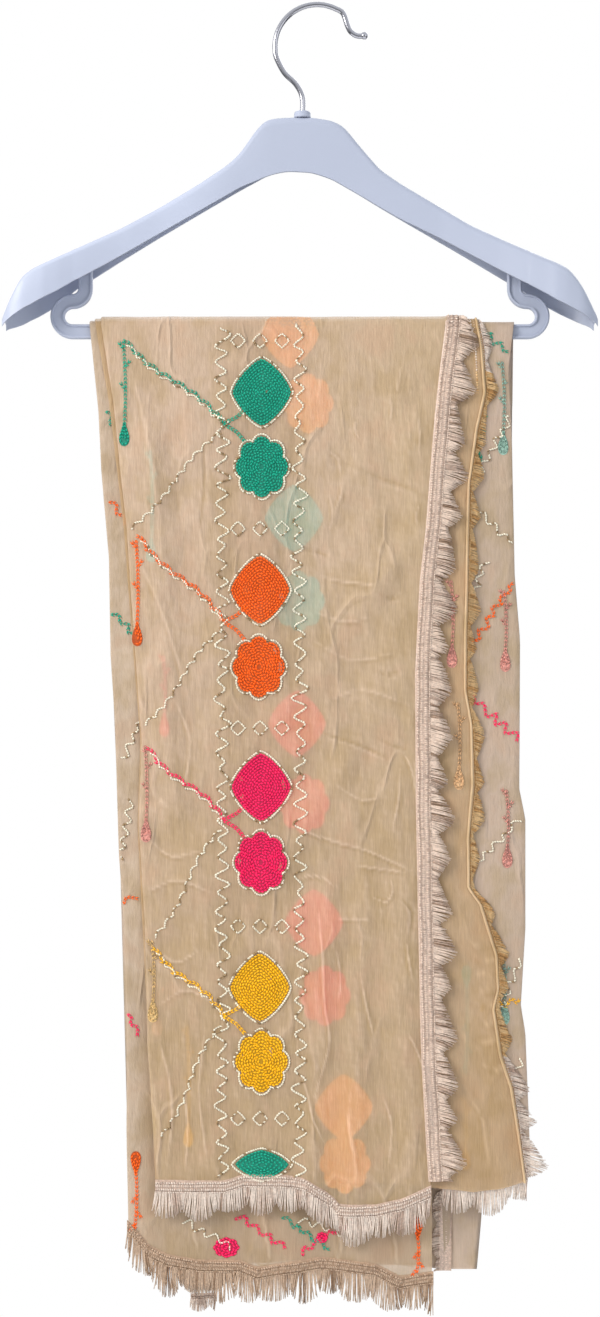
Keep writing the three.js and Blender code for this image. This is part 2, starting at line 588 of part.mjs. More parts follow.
// A bar of I-section with a looped bracket at each end, all in one flat plane.
function trouserBar() {
  const centre = BAR_TOP - BAR_HEIGHT / 2;
  const turnTop = centre + 2 * BRACKET_LOWER_RADIUS;
  const elbow = turnTop + BRACKET_UPPER_RADIUS;
  const bendX = BRACKET_X + BRACKET_UPPER_RADIUS;
  const half = [
    { x: BRACKET_X, z: BRACKET_TOP, across: 0 },
    { x: BRACKET_X, z: elbow, across: 0 },
  ];
  for (let k = 1; k <= BRACKET_ARC_STEPS; k += 1) {
    const angle = (k / BRACKET_ARC_STEPS) * (Math.PI / 2);
    half.push({
      x: bendX - BRACKET_UPPER_RADIUS * Math.cos(angle),
      z: elbow - BRACKET_UPPER_RADIUS * Math.sin(angle),
      across: angle,
    });
  }
  for (let k = 1; k <= 2 * BRACKET_ARC_STEPS; k += 1) {
    const angle = (k / (2 * BRACKET_ARC_STEPS)) * Math.PI;
    half.push({
      x: bendX + BRACKET_LOWER_RADIUS * Math.sin(angle),
      z: turnTop - BRACKET_LOWER_RADIUS * (1 - Math.cos(angle)),
      across: Math.PI / 2 - angle,
    });
  }
  const edge = BAR_HEIGHT / 2;
  const face = BAR_DEPTH / 2;
  const rim = edge - BAR_RIM;
  const web = face - BAR_RECESS;
  const quarter = [[edge, face - BAR_CORNER], [edge - BAR_CORNER * 0.7, face], [rim, face], [rim, web]];
  const turned = (points, u, y) => points.map(([a, b]) => [a * u, b * y]);
  const profile = [
    ...quarter,
    ...turned(quarter, -1, 1).reverse(),
    ...turned(quarter, -1, -1),
    ...turned(quarter, 1, -1).reverse(),
  ];
  const ringAt = ({ x, z, across }, mirror) => profile.map(([u, y]) => (
    new THREE.Vector3(mirror * (x - u * Math.cos(across)), y, z - u * Math.sin(across))
  ));
  const rings = [
    ...half.map((station) => ringAt(station, -1)),
    ...[...half].reverse().map((station) => ringAt(station, 1)),
  ];
  return loft(rings, outlineFaces(profile.map(([u, y]) => new THREE.Vector2(u, y))));
}

// The chromed wire: up from the collar, over the rail's place and out to a small ball.
function hookWire() {
  const centreZ = WIRE_DIAMETER / 2 - HOOK_RADIUS;
  const points = HOOK_STEM.map(({ x, z }) => new THREE.Vector3(x, 0, z));
  for (let degrees = HOOK_ROUND.from; degrees >= HOOK_ROUND.to; degrees -= HOOK_ROUND.step) {
    const angle = THREE.MathUtils.degToRad(degrees);
    points.push(new THREE.Vector3(
      HOOK_OFFSET + HOOK_RADIUS * Math.cos(angle), 0, centreZ + HOOK_RADIUS * Math.sin(angle),
    ));
  }
  points.push(...HOOK_TAIL.map(({ x, z }) => new THREE.Vector3(x, 0, z)));
  const section = new THREE.Shape();
  section.absarc(0, 0, WIRE_DIAMETER / 2, 0, 2 * Math.PI);
  const wire = new THREE.ExtrudeGeometry(section, {
    steps: WIRE_STEPS,
    curveSegments: WIRE_SIDES,
    extrudePath: new THREE.CatmullRomCurve3(points, false, 'centripetal'),
  });
  const ball = new THREE.SphereGeometry(HOOK_BALL_DIAMETER / 2, 10, 8);
  const end = points[points.length - 1];
  ball.translate(end.x, end.y, end.z);
  return fuse([wire, ball]);
}

// The moulded nub that the wire comes out of.
function hookCollar() {
  const bore = WIRE_DIAMETER / 2 + GAP;
  const base = HANGER_TOP + GAP;
  const profile = [
    [bore, 0], [COLLAR_RADIUS, 0], [COLLAR_RADIUS, COLLAR_HEIGHT - 1],
    [COLLAR_RADIUS - 1, COLLAR_HEIGHT], [bore, COLLAR_HEIGHT], [bore, 0],
  ].map(([radius, height]) => new THREE.Vector2(radius, height));
  const ring = new THREE.LatheGeometry(profile, 16);
  ring.rotateX(Math.PI / 2);
  ring.translate(HOOK_STEM[0].x, 0, base);
  return ring;
}

// ---------------------------------------------------------------- the object

const object = new THREE.Group();
object.name = 'dupatta_on_hanger';
const hook = new THREE.Group();
hook.position.x = -HOOK_OFFSET;
const centred = new THREE.Group();
centred.position.set(-HOOK_OFFSET, 0, -HANGER_DROP);
object.add(hook, centred);

centred.add(piece('hanger_body', hangerBody(), plastic()));
centred.add(piece('hanger_collar', hookCollar(), plastic()));
hook.add(piece('hanger_hook', hookWire(), chrome()));
centred.add(piece('hanger_bar', trouserBar(), plastic()));

centred.add(piece('dupatta_front_outer', clothStretch({
  left: FRONT_LEFT_FOLD, right: FRONT_LACE_EDGE, hem: FRONT_HEM, depth: FRONT_DEPTH,
  folds: FRONT_FOLDS, side: 1, crest: FRONT_CREST, legRows: 20, columns: 19, bulge: FOLDED_EDGE,
}), chiffon(0xcdb48f)));
centred.add(piece('dupatta_front_second', clothStretch({
  left: SECOND_LEFT, right: SECOND_LACE_EDGE, hem: SECOND_HEM, depth: SECOND_DEPTH,
  folds: SECOND_FOLDS, side: 1, crest: FRONT_CREST, legRows: 22, columns: 6, bulge: FLAT_EDGE,
}), chiffon(0xc6ad86)));
centred.add(piece('dupatta_second_end', clothStretch({
  left: LOWER_LEFT_FOLD, right: SECOND_END_RIGHT, hem: END_HEM, depth: SECOND_END_DEPTH,
  folds: SECOND_END_FOLDS, side: 1, crest: FRONT_CREST, legRows: 16, columns: 14, bulge: FOLDED_EDGE,
}), chiffon(0xc4ae92)));
centred.add(piece('dupatta_folded_layers', innerLayers(), chiffon(0xc9b294)));
centred.add(piece('dupatta_rear_outer', clothStretch({
  left: REAR_LEFT_FOLD, right: REAR_LACE_EDGE, hem: CROSS_FOLD, depth: REAR_DEPTH,
  folds: REAR_FOLDS, side: -1, crest: FRONT_CREST, legRows: 17, columns: 16, bulge: FOLDED_EDGE,
}), chiffon(0xcdb48f)));
centred.add(piece('dupatta_rear_second', clothStretch({
  left: SECOND_LEFT, right: REAR_SECOND_EDGE, hem: REAR_SECOND_HEM, depth: REAR_SECOND_DEPTH,
  folds: [], side: -1, crest: FRONT_CREST, legRows: 12, columns: 4, bulge: FLAT_EDGE,
}), chiffon(0xc6ad86)));

centred.add(piece('trim_front_edge', sideLace({
  edge: FRONT_LACE_EDGE, side: 1, depth: FRONT_DEPTH, folds: FRONT_FOLDS,
  from: 3, to: 566, scallops: 20, locks: 4, longest: FRINGE_LENGTH,
}), lace()));
centred.add(piece('trim_front_hem', hemLace({
  hem: FRONT_HEM, side: 1, depth: FRONT_DEPTH, folds: FRONT_FOLDS,
  from: -94, to: 85, columns: 19, scallops: 7, locks: 4, longest: FRINGE_LENGTH,
}), lace()));
centred.add(piece('trim_second_edge', sideLace({
  edge: SECOND_LACE_EDGE, side: 1, depth: SECOND_END_DEPTH, folds: [], inset: 6,
  from: 6, to: 560, scallops: 20, locks: 2, longest: FRINGE_LENGTH - 2, thin: true,
}), lace()));
centred.add(piece('trim_second_hem', hemLace({
  hem: SECOND_HEM, side: 1, depth: SECOND_DEPTH, folds: SECOND_FOLDS,
  from: 96, to: 149, columns: 3, scallops: 2, locks: 4, longest: FRINGE_LENGTH,
}), lace()));
centred.add(piece('trim_end_hem', hemLace({
  hem: END_HEM, side: 1, depth: SECOND_END_DEPTH, folds: SECOND_END_FOLDS,
  from: -113, to: 87, columns: 14, scallops: 7, locks: 4, longest: FRINGE_LENGTH + 2,
}), lace()));
centred.add(piece('trim_rear_edge', sideLace({
  edge: REAR_LACE_EDGE, side: -1, depth: REAR_DEPTH, folds: REAR_FOLDS,
  from: 3, to: 622, scallops: 22, locks: 2, longest: FRINGE_LENGTH,
}), lace()));
centred.add(piece('trim_inner_edge', sideLace({
  edge: INNER_EDGE, side: -1, depth: INNER_EDGE_DEPTH, folds: [], way: -1, start: 579,
  from: 578, to: 631, scallops: 2, locks: 3, longest: FRINGE_LENGTH / 2, thin: true,
}), lace()));
centred.add(piece('trim_low_corner', hemLace({
  hem: CROSS_FOLD, side: -1, depth: REAR_DEPTH, folds: REAR_FOLDS,
  from: -73, to: -56, columns: 2, scallops: 1, locks: 4, longest: 8, thin: true, band: 2.5,
  gap: CORNER_GAP,
}), lace()));

export default object;
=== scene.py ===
"""Looks for an embroidered chiffon dupatta hung over the trouser bar of a plastic hanger.

Row frame in metres: Z up, the front towards -Y, the origin inside the hook's top. The tables are
in millimetres about the hanger's own centre line; place() turns them into the row frame. Cloth
is described by x across it, path along it from the bar's crest (rear negative) and out, the
height above its own surface."""

import math

import bmesh
import bpy
import numpy as np
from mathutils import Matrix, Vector


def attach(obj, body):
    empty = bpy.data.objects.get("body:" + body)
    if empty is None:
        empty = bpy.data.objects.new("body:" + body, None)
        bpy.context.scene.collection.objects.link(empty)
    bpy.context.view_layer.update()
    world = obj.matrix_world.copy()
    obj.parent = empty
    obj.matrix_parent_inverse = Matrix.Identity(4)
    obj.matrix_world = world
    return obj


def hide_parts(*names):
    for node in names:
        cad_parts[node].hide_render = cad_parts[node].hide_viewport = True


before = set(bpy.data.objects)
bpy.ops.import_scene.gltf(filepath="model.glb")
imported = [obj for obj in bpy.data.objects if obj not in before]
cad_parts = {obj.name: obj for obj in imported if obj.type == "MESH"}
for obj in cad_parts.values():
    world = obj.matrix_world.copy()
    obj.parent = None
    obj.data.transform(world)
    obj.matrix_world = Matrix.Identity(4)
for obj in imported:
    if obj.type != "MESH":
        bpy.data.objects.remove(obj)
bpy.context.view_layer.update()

MM = 0.001
HOOK_OFFSET = 11.4      # the hook's top lies so far right of the hanger's centre line
HANGER_DROP = 3.4       # the hanger and the cloth hang this far below their tables
PIXEL = 0.6566          # millimetres for each unit of the layout grid that the motifs are set out on
CAP_LENGTH = 7.0        # path from the bar's crest to where the cloth falls plumb
TURN_RADIUS = 3.5       # of the cloth's turn over the bar, where it lies nearest
TURN_CENTRE = -209.9    # the height of that turn's centre
rng = np.random.default_rng(20261124)


# ------------------------------------------------------------------ tables: (path, x) and (x, path)
FRONT_LEFT = [(0, -132), (55, -123), (139, -114), (213, -109), (278, -104), (334, -106), (397, -102),
              (482, -100), (571, -94)]
FRONT_EDGE = [(0, 97.5), (31, 93.5), (65, 89.5), (102, 86.5), (140, 83.5), (175, 79.5), (235, 76.5),
              (318, 77), (400, 78.5), (471, 80), (507, 81.5), (571, 85.5)]
SECOND_LEFT = [(0, -136), (55, -126), (139, -116), (213, -110.5), (278, -105), (334, -107), (571, -95)]
SECOND_EDGE = [(0, 117), (22, 121), (50, 123), (75, 117), (110, 112), (213, 110), (246, 109.5),
               (269, 113.5), (308, 115), (344, 111.5), (376, 112), (387, 120), (420, 130), (443, 131),
               (455, 128), (486, 133), (507, 140), (569, 149)]
RIGHT_FOLD = [(0, 142), (35, 138), (75, 140), (170, 142), (213, 145.5), (311, 145), (331, 149),
              (403, 149), (454, 146), (472, 149), (570, 153)]
LOWER_LEFT = [(0, -139.5), (62, -133), (102, -131), (159, -126), (223, -125), (267, -122),
              (354, -119.5), (401, -116), (471, -114), (537, -114.5), (610, -113)]
REAR_LEFT = [(0, -132), (40, -136), (160, -124), (355, -117), (500, -111), (640, -107)]
REAR_EDGE = [(0, 97.5), (150, 88), (300, 84), (450, 82), (640, 76)]
REAR_SECOND_EDGE = [(0, 118), (150, 113), (300, 114), (450, 108), (640, 99)]
REAR_RIGHT = [(0, 142), (200, 140), (400, 134), (640, 118)]
INNER_LEFT = [(0, -136.5), (62, -130), (102, -128), (159, -123), (223, -122), (354, -116.5), (560, -111)]
INNER_REAR_LEFT = [(0, -136.5), (160, -121), (355, -114), (500, -108), (640, -104)]

FRONT_HEM = [(-94, 568), (-49, 568), (-37, 564), (-13, 564), (3, 566), (20, 577), (26, 584), (50, 584),
             (66, 580), (86, 571)]
SECOND_HEM = [(60, 570), (96, 574), (114, 576), (131, 574), (149, 569)]
END_HEM = [(-113, 596), (-107, 603), (-100, 612), (-88, 618), (-67, 622), (-40, 622), (-28, 627),
           (-13, 624), (13, 620), (49, 624), (66, 633), (87, 630)]
CROSS_FOLD = [(-107, 618), (-90, 628), (-82, 639), (-74, 648), (-54, 648), (-46, 639), (-36, 630), (0, 628),
              (66, 630), (93, 634), (118, 634)]

# ------------------------------------------------------------------ small tools


def column(table, value):
    """A table's value, by straight lines between its rows."""
    rows = np.asarray(table, float)
    return np.interp(value, rows[:, 0], rows[:, 1])


def smooth(value):
    t = np.clip(value, 0, 1)
    return t * t * (3 - 2 * t)


def mix(a, b, t):
    return a + (b - a) * t


def spot(across, down):
    """A place of the layout grid as (x, path) on the front."""
    return ((across - 300) * PIXEL, (down - 318) * PIXEL + 1.5)


def place(x, y, z, drop=HANGER_DROP):
    """Points of the tables' millimetres, in the row frame."""
    return np.stack([(np.asarray(x) - HOOK_OFFSET) * MM, np.asarray(y) * MM, (np.asarray(z) - drop) * MM], -1)


def hang(x, path, offset):
    """Over the bar's round top and then plumb down, at an offset from the bar's face."""
    x, path, offset = np.broadcast_arrays(np.asarray(x, float), np.asarray(path, float), offset)
    radius = TURN_RADIUS + offset
    side = np.where(path < 0, 1.0, -1.0)
    length = np.abs(path)
    angle = np.minimum(length / CAP_LENGTH, 1) * math.pi / 2
    drop = np.maximum(length - CAP_LENGTH, 0)
    return place(x, side * radius * np.sin(angle), TURN_CENTRE + radius * np.cos(angle) - drop)


def waves(x, path, seed, scales):
    """Uneven wrinkles that run mostly down the cloth: (wavelength, height, how many) for each scale."""
    made = np.random.default_rng(seed)
    total = np.zeros(np.broadcast(x, path).shape)
    for length, height, count in scales:
        for _ in range(count):
            turn = made.normal(0, 0.55)
            wavelength = length * made.uniform(0.65, 1.5)
            phase = made.uniform(0, 2 * math.pi)
            along = (x * math.cos(turn) + path * math.sin(turn)) / wavelength
            drift = 0.9 * np.sin(path / (length * 3.1) + phase) + 0.7 * np.sin(x / (length * 1.7) + phase)
            total = total + height / math.sqrt(count) * np.sin(2 * math.pi * along + drift + phase)
    return total


def circle(count):
    """So many angles, evenly round."""
    return np.linspace(0, 2 * math.pi, count + 1)[:-1]


def catmull(points, steps):
    """A smooth line through points."""
    points = np.asarray(points, float)
    padded = np.vstack([2 * points[0] - points[1], points, 2 * points[-1] - points[-2]])
    made = []
    for k in range(1, len(padded) - 2):
        a, b, c, d = padded[k - 1:k + 3]
        for t in np.linspace(0, 1, steps, endpoint=False):
            made.append(0.5 * (2 * b + (c - a) * t + (2 * a - 5 * b + 4 * c - d) * t ** 2
                               + (3 * b - a - 3 * c + d) * t ** 3))
    made.append(points[-1])
    return np.array(made)


def traced(rows):
    """Crease rows (width, height, share of the width on the line's other side, then the line's
    places on the layout grid), with each line made smooth."""
    return [(width, height, other, catmull([spot(*at) for at in line], 4))
            for width, height, other, *line in rows]


def crease_height(x, path, creases):
    """How far creases raise the cloth, or lower it: unevenly along each line, to nothing at its ends."""
    x, path = np.broadcast_arrays(np.asarray(x, float), np.asarray(path, float))
    total = np.zeros(x.shape)
    for width, height, other, line in creases:
        reach = 4.5 * width
        near = ((x > line[:, 0].min() - reach) & (x < line[:, 0].max() + reach)
                & (path > line[:, 1].min() - reach) & (path < line[:, 1].max() + reach))
        if not near.any():
            continue
        px, pp = x[near][:, None], path[near][:, None]
        start, step = line[:-1], np.diff(line, axis=0)
        size = np.maximum((step ** 2).sum(1), 1e-6)
        t = np.clip(((px - start[:, 0]) * step[:, 0] + (pp - start[:, 1]) * step[:, 1]) / size, 0, 1)
        gaps = np.hypot(px - start[:, 0] - t * step[:, 0], pp - start[:, 1] - t * step[:, 1])
        best = gaps.argmin(1)
        rows = np.arange(len(best))
        gap, along = gaps[rows, best], (best + t[rows, best]) / len(step)
        hand = (px[:, 0] - start[best, 0]) * step[best, 1] - (pp[:, 0] - start[best, 1]) * step[best, 0]
        level = abs(line[-1, 0] - line[0, 0]) > abs(line[-1, 1] - line[0, 1])
        broad = max(width, LEVEL_WIDTH) if level else width
        wide = np.where(hand > 0, broad, broad * other)
        taper = np.sin(math.pi * np.clip(along, 0.02, 0.98)) ** 0.6
        uneven = 1 + 0.28 * np.sin(9 * along + line[0, 0]) + 0.14 * np.sin(23 * along + line[0, 1])
        total[near] += CREASE * height * taper * uneven * np.exp(-(gap / wide) ** 1.7)
    return total


def fold_height(folds, x, path):
    """Long soft folds: (x at the start, lean to its end, start, end, width, height)."""
    total = np.zeros(np.broadcast(x, path).shape)
    for centre, lean, start, end, width, height in folds:
        at = centre + lean * np.clip((path - start) / (end - start), 0, 1)
        ends = smooth((path - start) / 45 + 0.5) * smooth((end - path) / 45 + 0.5)
        total = total + height * ends * np.exp(-((x - at) / width) ** 2)
    return total


def relief(layer, x, length):
    """A layer's folds, creases and wrinkles, which fade out over the bar."""
    settled = smooth((length - CAP_LENGTH) / 60)
    total = fold_height(layer.get("folds", []), x, length)
    total = total + crease_height(x, length, layer.get("creases", []))
    total = total + waves(x, length, layer["seed"], layer["waves"])
    return total * (0.12 + 0.88 * settled)


def lay(layer, x, path, out=0.0):
    """Points of cloth space on a layer, in the row frame."""
    length = np.abs(path)
    return hang(x, path, column(layer["depth"], length) + relief(layer, x, length) + out)


# ------------------------------------------------------------------ the layers
CREASE = 1.1            # how strong all creases are
LEVEL_WIDTH = 2.3       # creases across the rows of points are at least so wide
WRINKLES = [(80, 1.0, 4), (30, 0.5, 5), (13, 0.22, 6), (6, 0.07, 6)]
FRONT_CREASES = traced([
    # long upright pinches right of the embroidered column
    (1.5, 1.2, 0.6, (318.6, 913), (322.7, 962), (324.3, 1003), (328.8, 1033), (326.7, 1054), (314.5, 1095)),
    (1.3, 0.8, 0.6, (336, 948), (340, 974), (339, 999)),
    (1.3, 0.9, 0.6, (361, 978), (365.5, 1003), (374, 1040)),
    (1.3, 1, 0.6, (406, 942), (408, 958), (412, 980)),
    (1.5, 1.2, 0.6, (408, 1033), (416.5, 1050), (422.7, 1070), (425.7, 1105), (426.7, 1135)),
    (1.4, 0.9, 0.6, (302, 1076), (308, 1097), (312.5, 1117), (322.7, 1140)),
    (2.4, 0.8, 0.5, (351, 1086), (348, 1120), (353, 1158)),
    (2, 0.8, 0.5, (384, 1098), (391, 1124), (389, 1160)),
    # the gathers above them
    (1.3, 0.9, 0.6, (337, 919), (351, 918), (371.6, 919.6)),
    (1.5, 1.1, 0.5, (298, 880), (308, 876), (320.6, 877), (333, 884.5)),
    (1.4, 1, 0.5, (357, 866), (382, 869), (404, 872)),
    (1.2, 0.9, 0.6, (390, 878), (392, 890.6), (386, 901), (371.6, 896.7)),
    (1.8, -1, 0.6, (400, 897), (412, 913), (408, 942)),
    # short ones near the bar
    (1.4, 0.7, 0.6, (406, 346), (398, 383), (396, 393)),
    (1.3, 0.7, 0.6, (390, 396), (391, 410), (390, 423)),
    (1.3, 0.7, 0.6, (418.5, 419), (419, 436), (418.5, 454)),
    (1.2, 0.7, 0.6, (356, 419), (355, 429), (358, 438)),
    (1.2, 0.7, 0.6, (330, 453), (338, 459), (340, 476)),
    (1.3, 0.8, 0.6, (343, 482), (340, 498), (335, 512)),
    (1.3, 0.7, 0.6, (330, 496), (332, 514), (330, 530)),
    (1.3, 0.7, 0.6, (419, 504), (416, 516), (417, 527)),
    (1.6, 0.6, 0.6, (319, 352), (321, 372), (318, 398)),
    (1.8, 0.6, 0.5, (372, 336), (370, 356), (373, 380)),
    # slanting hollows and pulls
    (3.2, -1.3, 0.8, (343, 462), (376, 476), (406, 487), (431, 499)),
    (2.6, -1, 0.8, (303, 549), (318, 552), (331, 559)),
    (2.4, -1, 0.8, (382, 596), (392, 599), (402, 596)),
    (2.4, -1, 0.8, (378, 672), (388, 675), (400, 671)),
    (2, -1.1, 0.6, (322, 733), (356, 744), (392, 760)),
    (1.6, -0.9, 0.6, (380, 740), (396, 747), (410, 750)),
    (1.6, 1, 0.5, (322, 577), (350, 583), (378, 585)),
    (1.4, 0.9, 0.5, (405, 755), (412, 772), (415, 790)),
    (1.8, 0.9, 0.5, (400, 770), (398, 800), (392, 830)),
    (2, 1.2, 0.5, (300, 830), (336, 842), (368, 851), (410, 870)),
    (3.2, 0.8, 0.5, (312, 640), (352, 660), (398, 652)),
    (3, 0.8, 0.5, (330, 700), (362, 690), (408, 704)),
    (2.4, 0.7, 0.5, (314, 612), (346, 622), (372, 616)),
    (2, 0.8, 0.5, (340, 788), (362, 800), (381, 798)),
    # at the left fold
    (1.6, 0.9, 0.6, (107.4, 338), (107.4, 366), (113, 419)),
    (1.8, -0.9, 0.6, (202.7, 441), (204, 486), (199.4, 532)),
    (1.9, 1, 0.6, (152, 842), (172, 856), (204, 850)),
    (2, 1.1, 0.5, (150, 890), (178, 880), (212, 892)),
    (1.9, 1, 0.6, (154, 948), (176, 962), (196, 952)),
    (2, 0.9, 0.6, (160, 1004), (186, 990), (216, 1002)),
    (3, 0.8, 0.5, (140, 560), (166, 622), (190, 700)),
    (2.2, 1.1, 0.6, (160, 1040), (172, 1100), (168, 1166)),
    (2, 0.8, 0.6, (205, 1030), (199, 1090), (207, 1160)),
    (2.8, 0.8, 0.5, (128, 356), (146, 430), (160, 520)),
    (1.6, 0.9, 0.6, (183, 1082), (188, 1126), (185, 1168)),
    (2.2, 0.8, 0.5, (176, 700), (190, 742), (184, 790)),
])
REAR_CREASES = traced([
    (3.0, 1.2, 0.5, (170, 470), (182, 600), (176, 720)),
    (2.8, 1.1, 0.6, (250, 600), (262, 760), (256, 900)),
    (2.2, 1.0, 0.6, (330, 520), (326, 640), (338, 720)),
    (3.0, 1.2, 0.5, (210, 760), (270, 790), (350, 770)),
    (2.8, 1.1, 0.6, (300, 900), (360, 930), (420, 900)),
    (2.6, 1.0, 0.6, (180, 960), (230, 940), (300, 968)),
    (2.2, 1.3, 0.6, (380, 960), (376, 1080), (388, 1200)),
    (2.4, 1.3, 0.6, (220, 1040), (214, 1140), (226, 1260)),
    (2.0, 1.1, 0.6, (290, 1080), (300, 1180), (292, 1270)),
])
END_CREASES = traced([
    (1.8, 1.0, 0.6, (190, 1222), (198, 1256)),
    (2.2, 1.3, 0.6, (262, 1214), (270, 1262)),
    (2.4, 1.5, 0.6, (345, 1216), (338, 1268)),
    (1.8, 1.1, 0.6, (392, 1218), (398, 1270)),
])
SECOND_CREASES = traced([      # short gathers along its turned edge
    (1.2, 0.9, 0.6, (471, 944), (483, 947), (495, 943)),
    (1.3, 1.0, 0.6, (474, 958), (485, 961), (498, 960)),
    (1.1, 0.8, 0.6, (470, 975), (482, 973), (494, 977)),
    (1.4, 1.1, 0.6, (475, 988), (487, 992), (499, 990)),
    (1.2, 0.8, 0.6, (473, 1007), (486, 1004), (497, 1008)),
    (1.3, 1.0, 0.6, (478, 1021), (489, 1025), (500, 1022)),
    (1.3, 0.9, 0.6, (480, 1043), (492, 1041), (505, 1046)),
    (1.5, 0.9, 0.6, (482, 1066), (496, 1070), (509, 1066)),
    (2.0, 0.9, 0.6, (466, 1090), (482, 1120), (490, 1168)),
])
SIDE_CREASES = traced([
    (2.0, 0.9, 0.6, (500, 560), (492, 640), (498, 720)),
    (2.2, 1.0, 0.6, (510, 820), (502, 900), (508, 980)),
    (1.8, 0.7, 0.6, (492, 480), (508, 530), (514, 560)),
    (1.8, 0.8, 0.6, (486, 760), (504, 786), (520, 780)),
])

FRONT = {
    "depth": [(0, 4.8), (24, 6.45), (75, 9.8), (400, 11.8), (660, 10.8)], "seed": 3, "waves": WRINKLES,
    "creases": FRONT_CREASES, "edges": (FRONT_LEFT, FRONT_EDGE),
    "folds": [(-96, 12, 60, 330, 9, 2.6), (-64, 10, 300, 565, 12, 1.8), (20, -14, 360, 600, 8, 2.8),
              (42, -8, 380, 600, 7, 2.2), (70, -86, 150, 270, 11, 1.9), (58, -64, 250, 350, 10, 2.0),
              (66, 6, 380, 580, 10, 2.2), (-12, 8, 90, 300, 16, 1.4)],
}
SECOND = {
    "depth": [(0, 3.4), (24, 4.65), (75, 7.0), (400, 8.0), (660, 7.6)], "seed": 8,
    "waves": [(60, 0.5, 4), (22, 0.25, 4)], "creases": SECOND_CREASES, "edges": (SECOND_LEFT, SECOND_EDGE),
    "folds": [(106, 3, 110, 260, 6, 1.1), (124, 10, 400, 580, 8, 1.6)],
}
SECOND_END = {
    "depth": [(0, 2.1), (24, 2.95), (75, 4.4), (400, 4.8), (660, 3.2)], "seed": 12,
    "waves": [(60, 0.4, 4), (22, 0.2, 4)], "creases": END_CREASES, "edges": (LOWER_LEFT, [(0, 87)]),
    "folds": [(-112, 8, 60, 420, 6, 1.1), (-20, 16, 560, 640, 14, 2.0), (50, -10, 570, 640, 12, 2.4)],
}
INNER = {
    "depth": [(0, 1.3), (24, 1.9), (75, 2.8), (400, 3.3), (660, 2.6)], "seed": 17,
    "waves": [(60, 0.3, 4), (22, 0.15, 4)], "creases": SIDE_CREASES, "edges": (INNER_LEFT, RIGHT_FOLD),
}
REAR = {
    "depth": [(0, 4.8), (24, 5.85), (75, 8.0), (660, 8.4)], "seed": 3, "waves": WRINKLES,
    "creases": REAR_CREASES, "edges": (REAR_LEFT, REAR_EDGE),
    "folds": [(-88, 14, 80, 420, 11, 2.2), (-38, 12, 220, 660, 10, 2.6), (8, -12, 330, 660, 9, 2.8),
              (70, -96, 140, 270, 11, 1.8), (54, -14, 400, 660, 9, 2.2)],
}
REAR_SECOND = {
    "depth": [(0, 3.4), (24, 3.75), (75, 5.0), (660, 5.2)], "seed": 23,
    "waves": [(60, 0.4, 4), (22, 0.2, 4)],
}
INNER_TRIM = {"depth": [(0, -2.9), (660, -2.9)], "seed": 29, "waves": [(60, 0.1, 2)]}

# ------------------------------------------------------------------ meshes


def make_object(name, verts, faces, material, tints=None, crest=None):
    """A piece of the one body; material may be a list that tints picks from, face by face."""
    mesh = bpy.data.meshes.new(name)
    verts = np.asarray(verts, np.float32).reshape(-1, 3)
    faces = np.asarray(faces, np.int32)
    count, sides = faces.shape
    mesh.vertices.add(len(verts))
    mesh.vertices.foreach_set("co", verts.ravel())
    mesh.loops.add(faces.size)
    mesh.loops.foreach_set("vertex_index", faces.ravel())
    mesh.polygons.add(count)
    mesh.polygons.foreach_set("loop_start", np.arange(count, dtype=np.int32) * sides)
    mesh.polygons.foreach_set("loop_total", np.full(count, sides, np.int32))
    mesh.update(calc_edges=True)
    mesh.polygons.foreach_set("use_smooth", [True] * count)
    for entry in material if isinstance(material, list) else [material]:
        mesh.materials.append(entry)
    if tints is not None:
        mesh.polygons.foreach_set("material_index", np.asarray(tints, np.int32))
    if crest is not None:
        values = mesh.attributes.new("crest", "FLOAT", "POINT").data
        values.foreach_set("value", crest.ravel().astype(np.float32))
    made = bpy.data.objects.new(name, mesh)
    bpy.context.scene.collection.objects.link(made)
    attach(made, "root")
    return made


def grid_faces(rows, columns, closed=False):
    """Quads over a grid of points; closed joins its last column to its first."""
    across = columns if closed else columns - 1
    r, c = np.meshgrid(np.arange(rows - 1), np.arange(across), indexing="ij")
    nxt = (c + 1) % columns
    return np.stack([r * columns + c, r * columns + nxt, (r + 1) * columns + nxt, (r + 1) * columns + c],
                    -1).reshape(-1, 4)


def halved(quads):
    """Each quad as two triangles."""
    return np.concatenate([quads[:, [0, 1, 2]], quads[:, [0, 2, 3]]])


def repeated(faces, corners, count):
    """The faces of one grain or thread, for so many of them one after another."""
    return (np.asarray(faces)[None] + corners * np.arange(count)[:, None, None]).reshape(-1, 3)


def rolled(radius, inset):
    """Columns round a fold: (inward from the fold, out), from under the cloth to its face."""
    under = [(inset, -2 * radius), (inset * 0.5 + radius, -2 * radius)]
    turn = [(radius * (1 - math.sin(a)), -radius + radius * math.cos(a)) for a in np.linspace(math.pi, 0, 7)]
    return under + turn


def bending(layer, x, path):
    """How sharply the cloth bends at each point, ridges positive; the chiffon's colour uses it for painted
    highlight on ridges and painted shade in hollows.
    """
    step, shine = 1.1, 2.2
    here = relief(layer, x, path)
    around = (relief(layer, x + step, path) + relief(layer, x - step, path)
              + relief(layer, x, path + step) + relief(layer, x, path - step) - 4 * here) / step ** 2
    return np.clip(-around * shine, -1, 1)


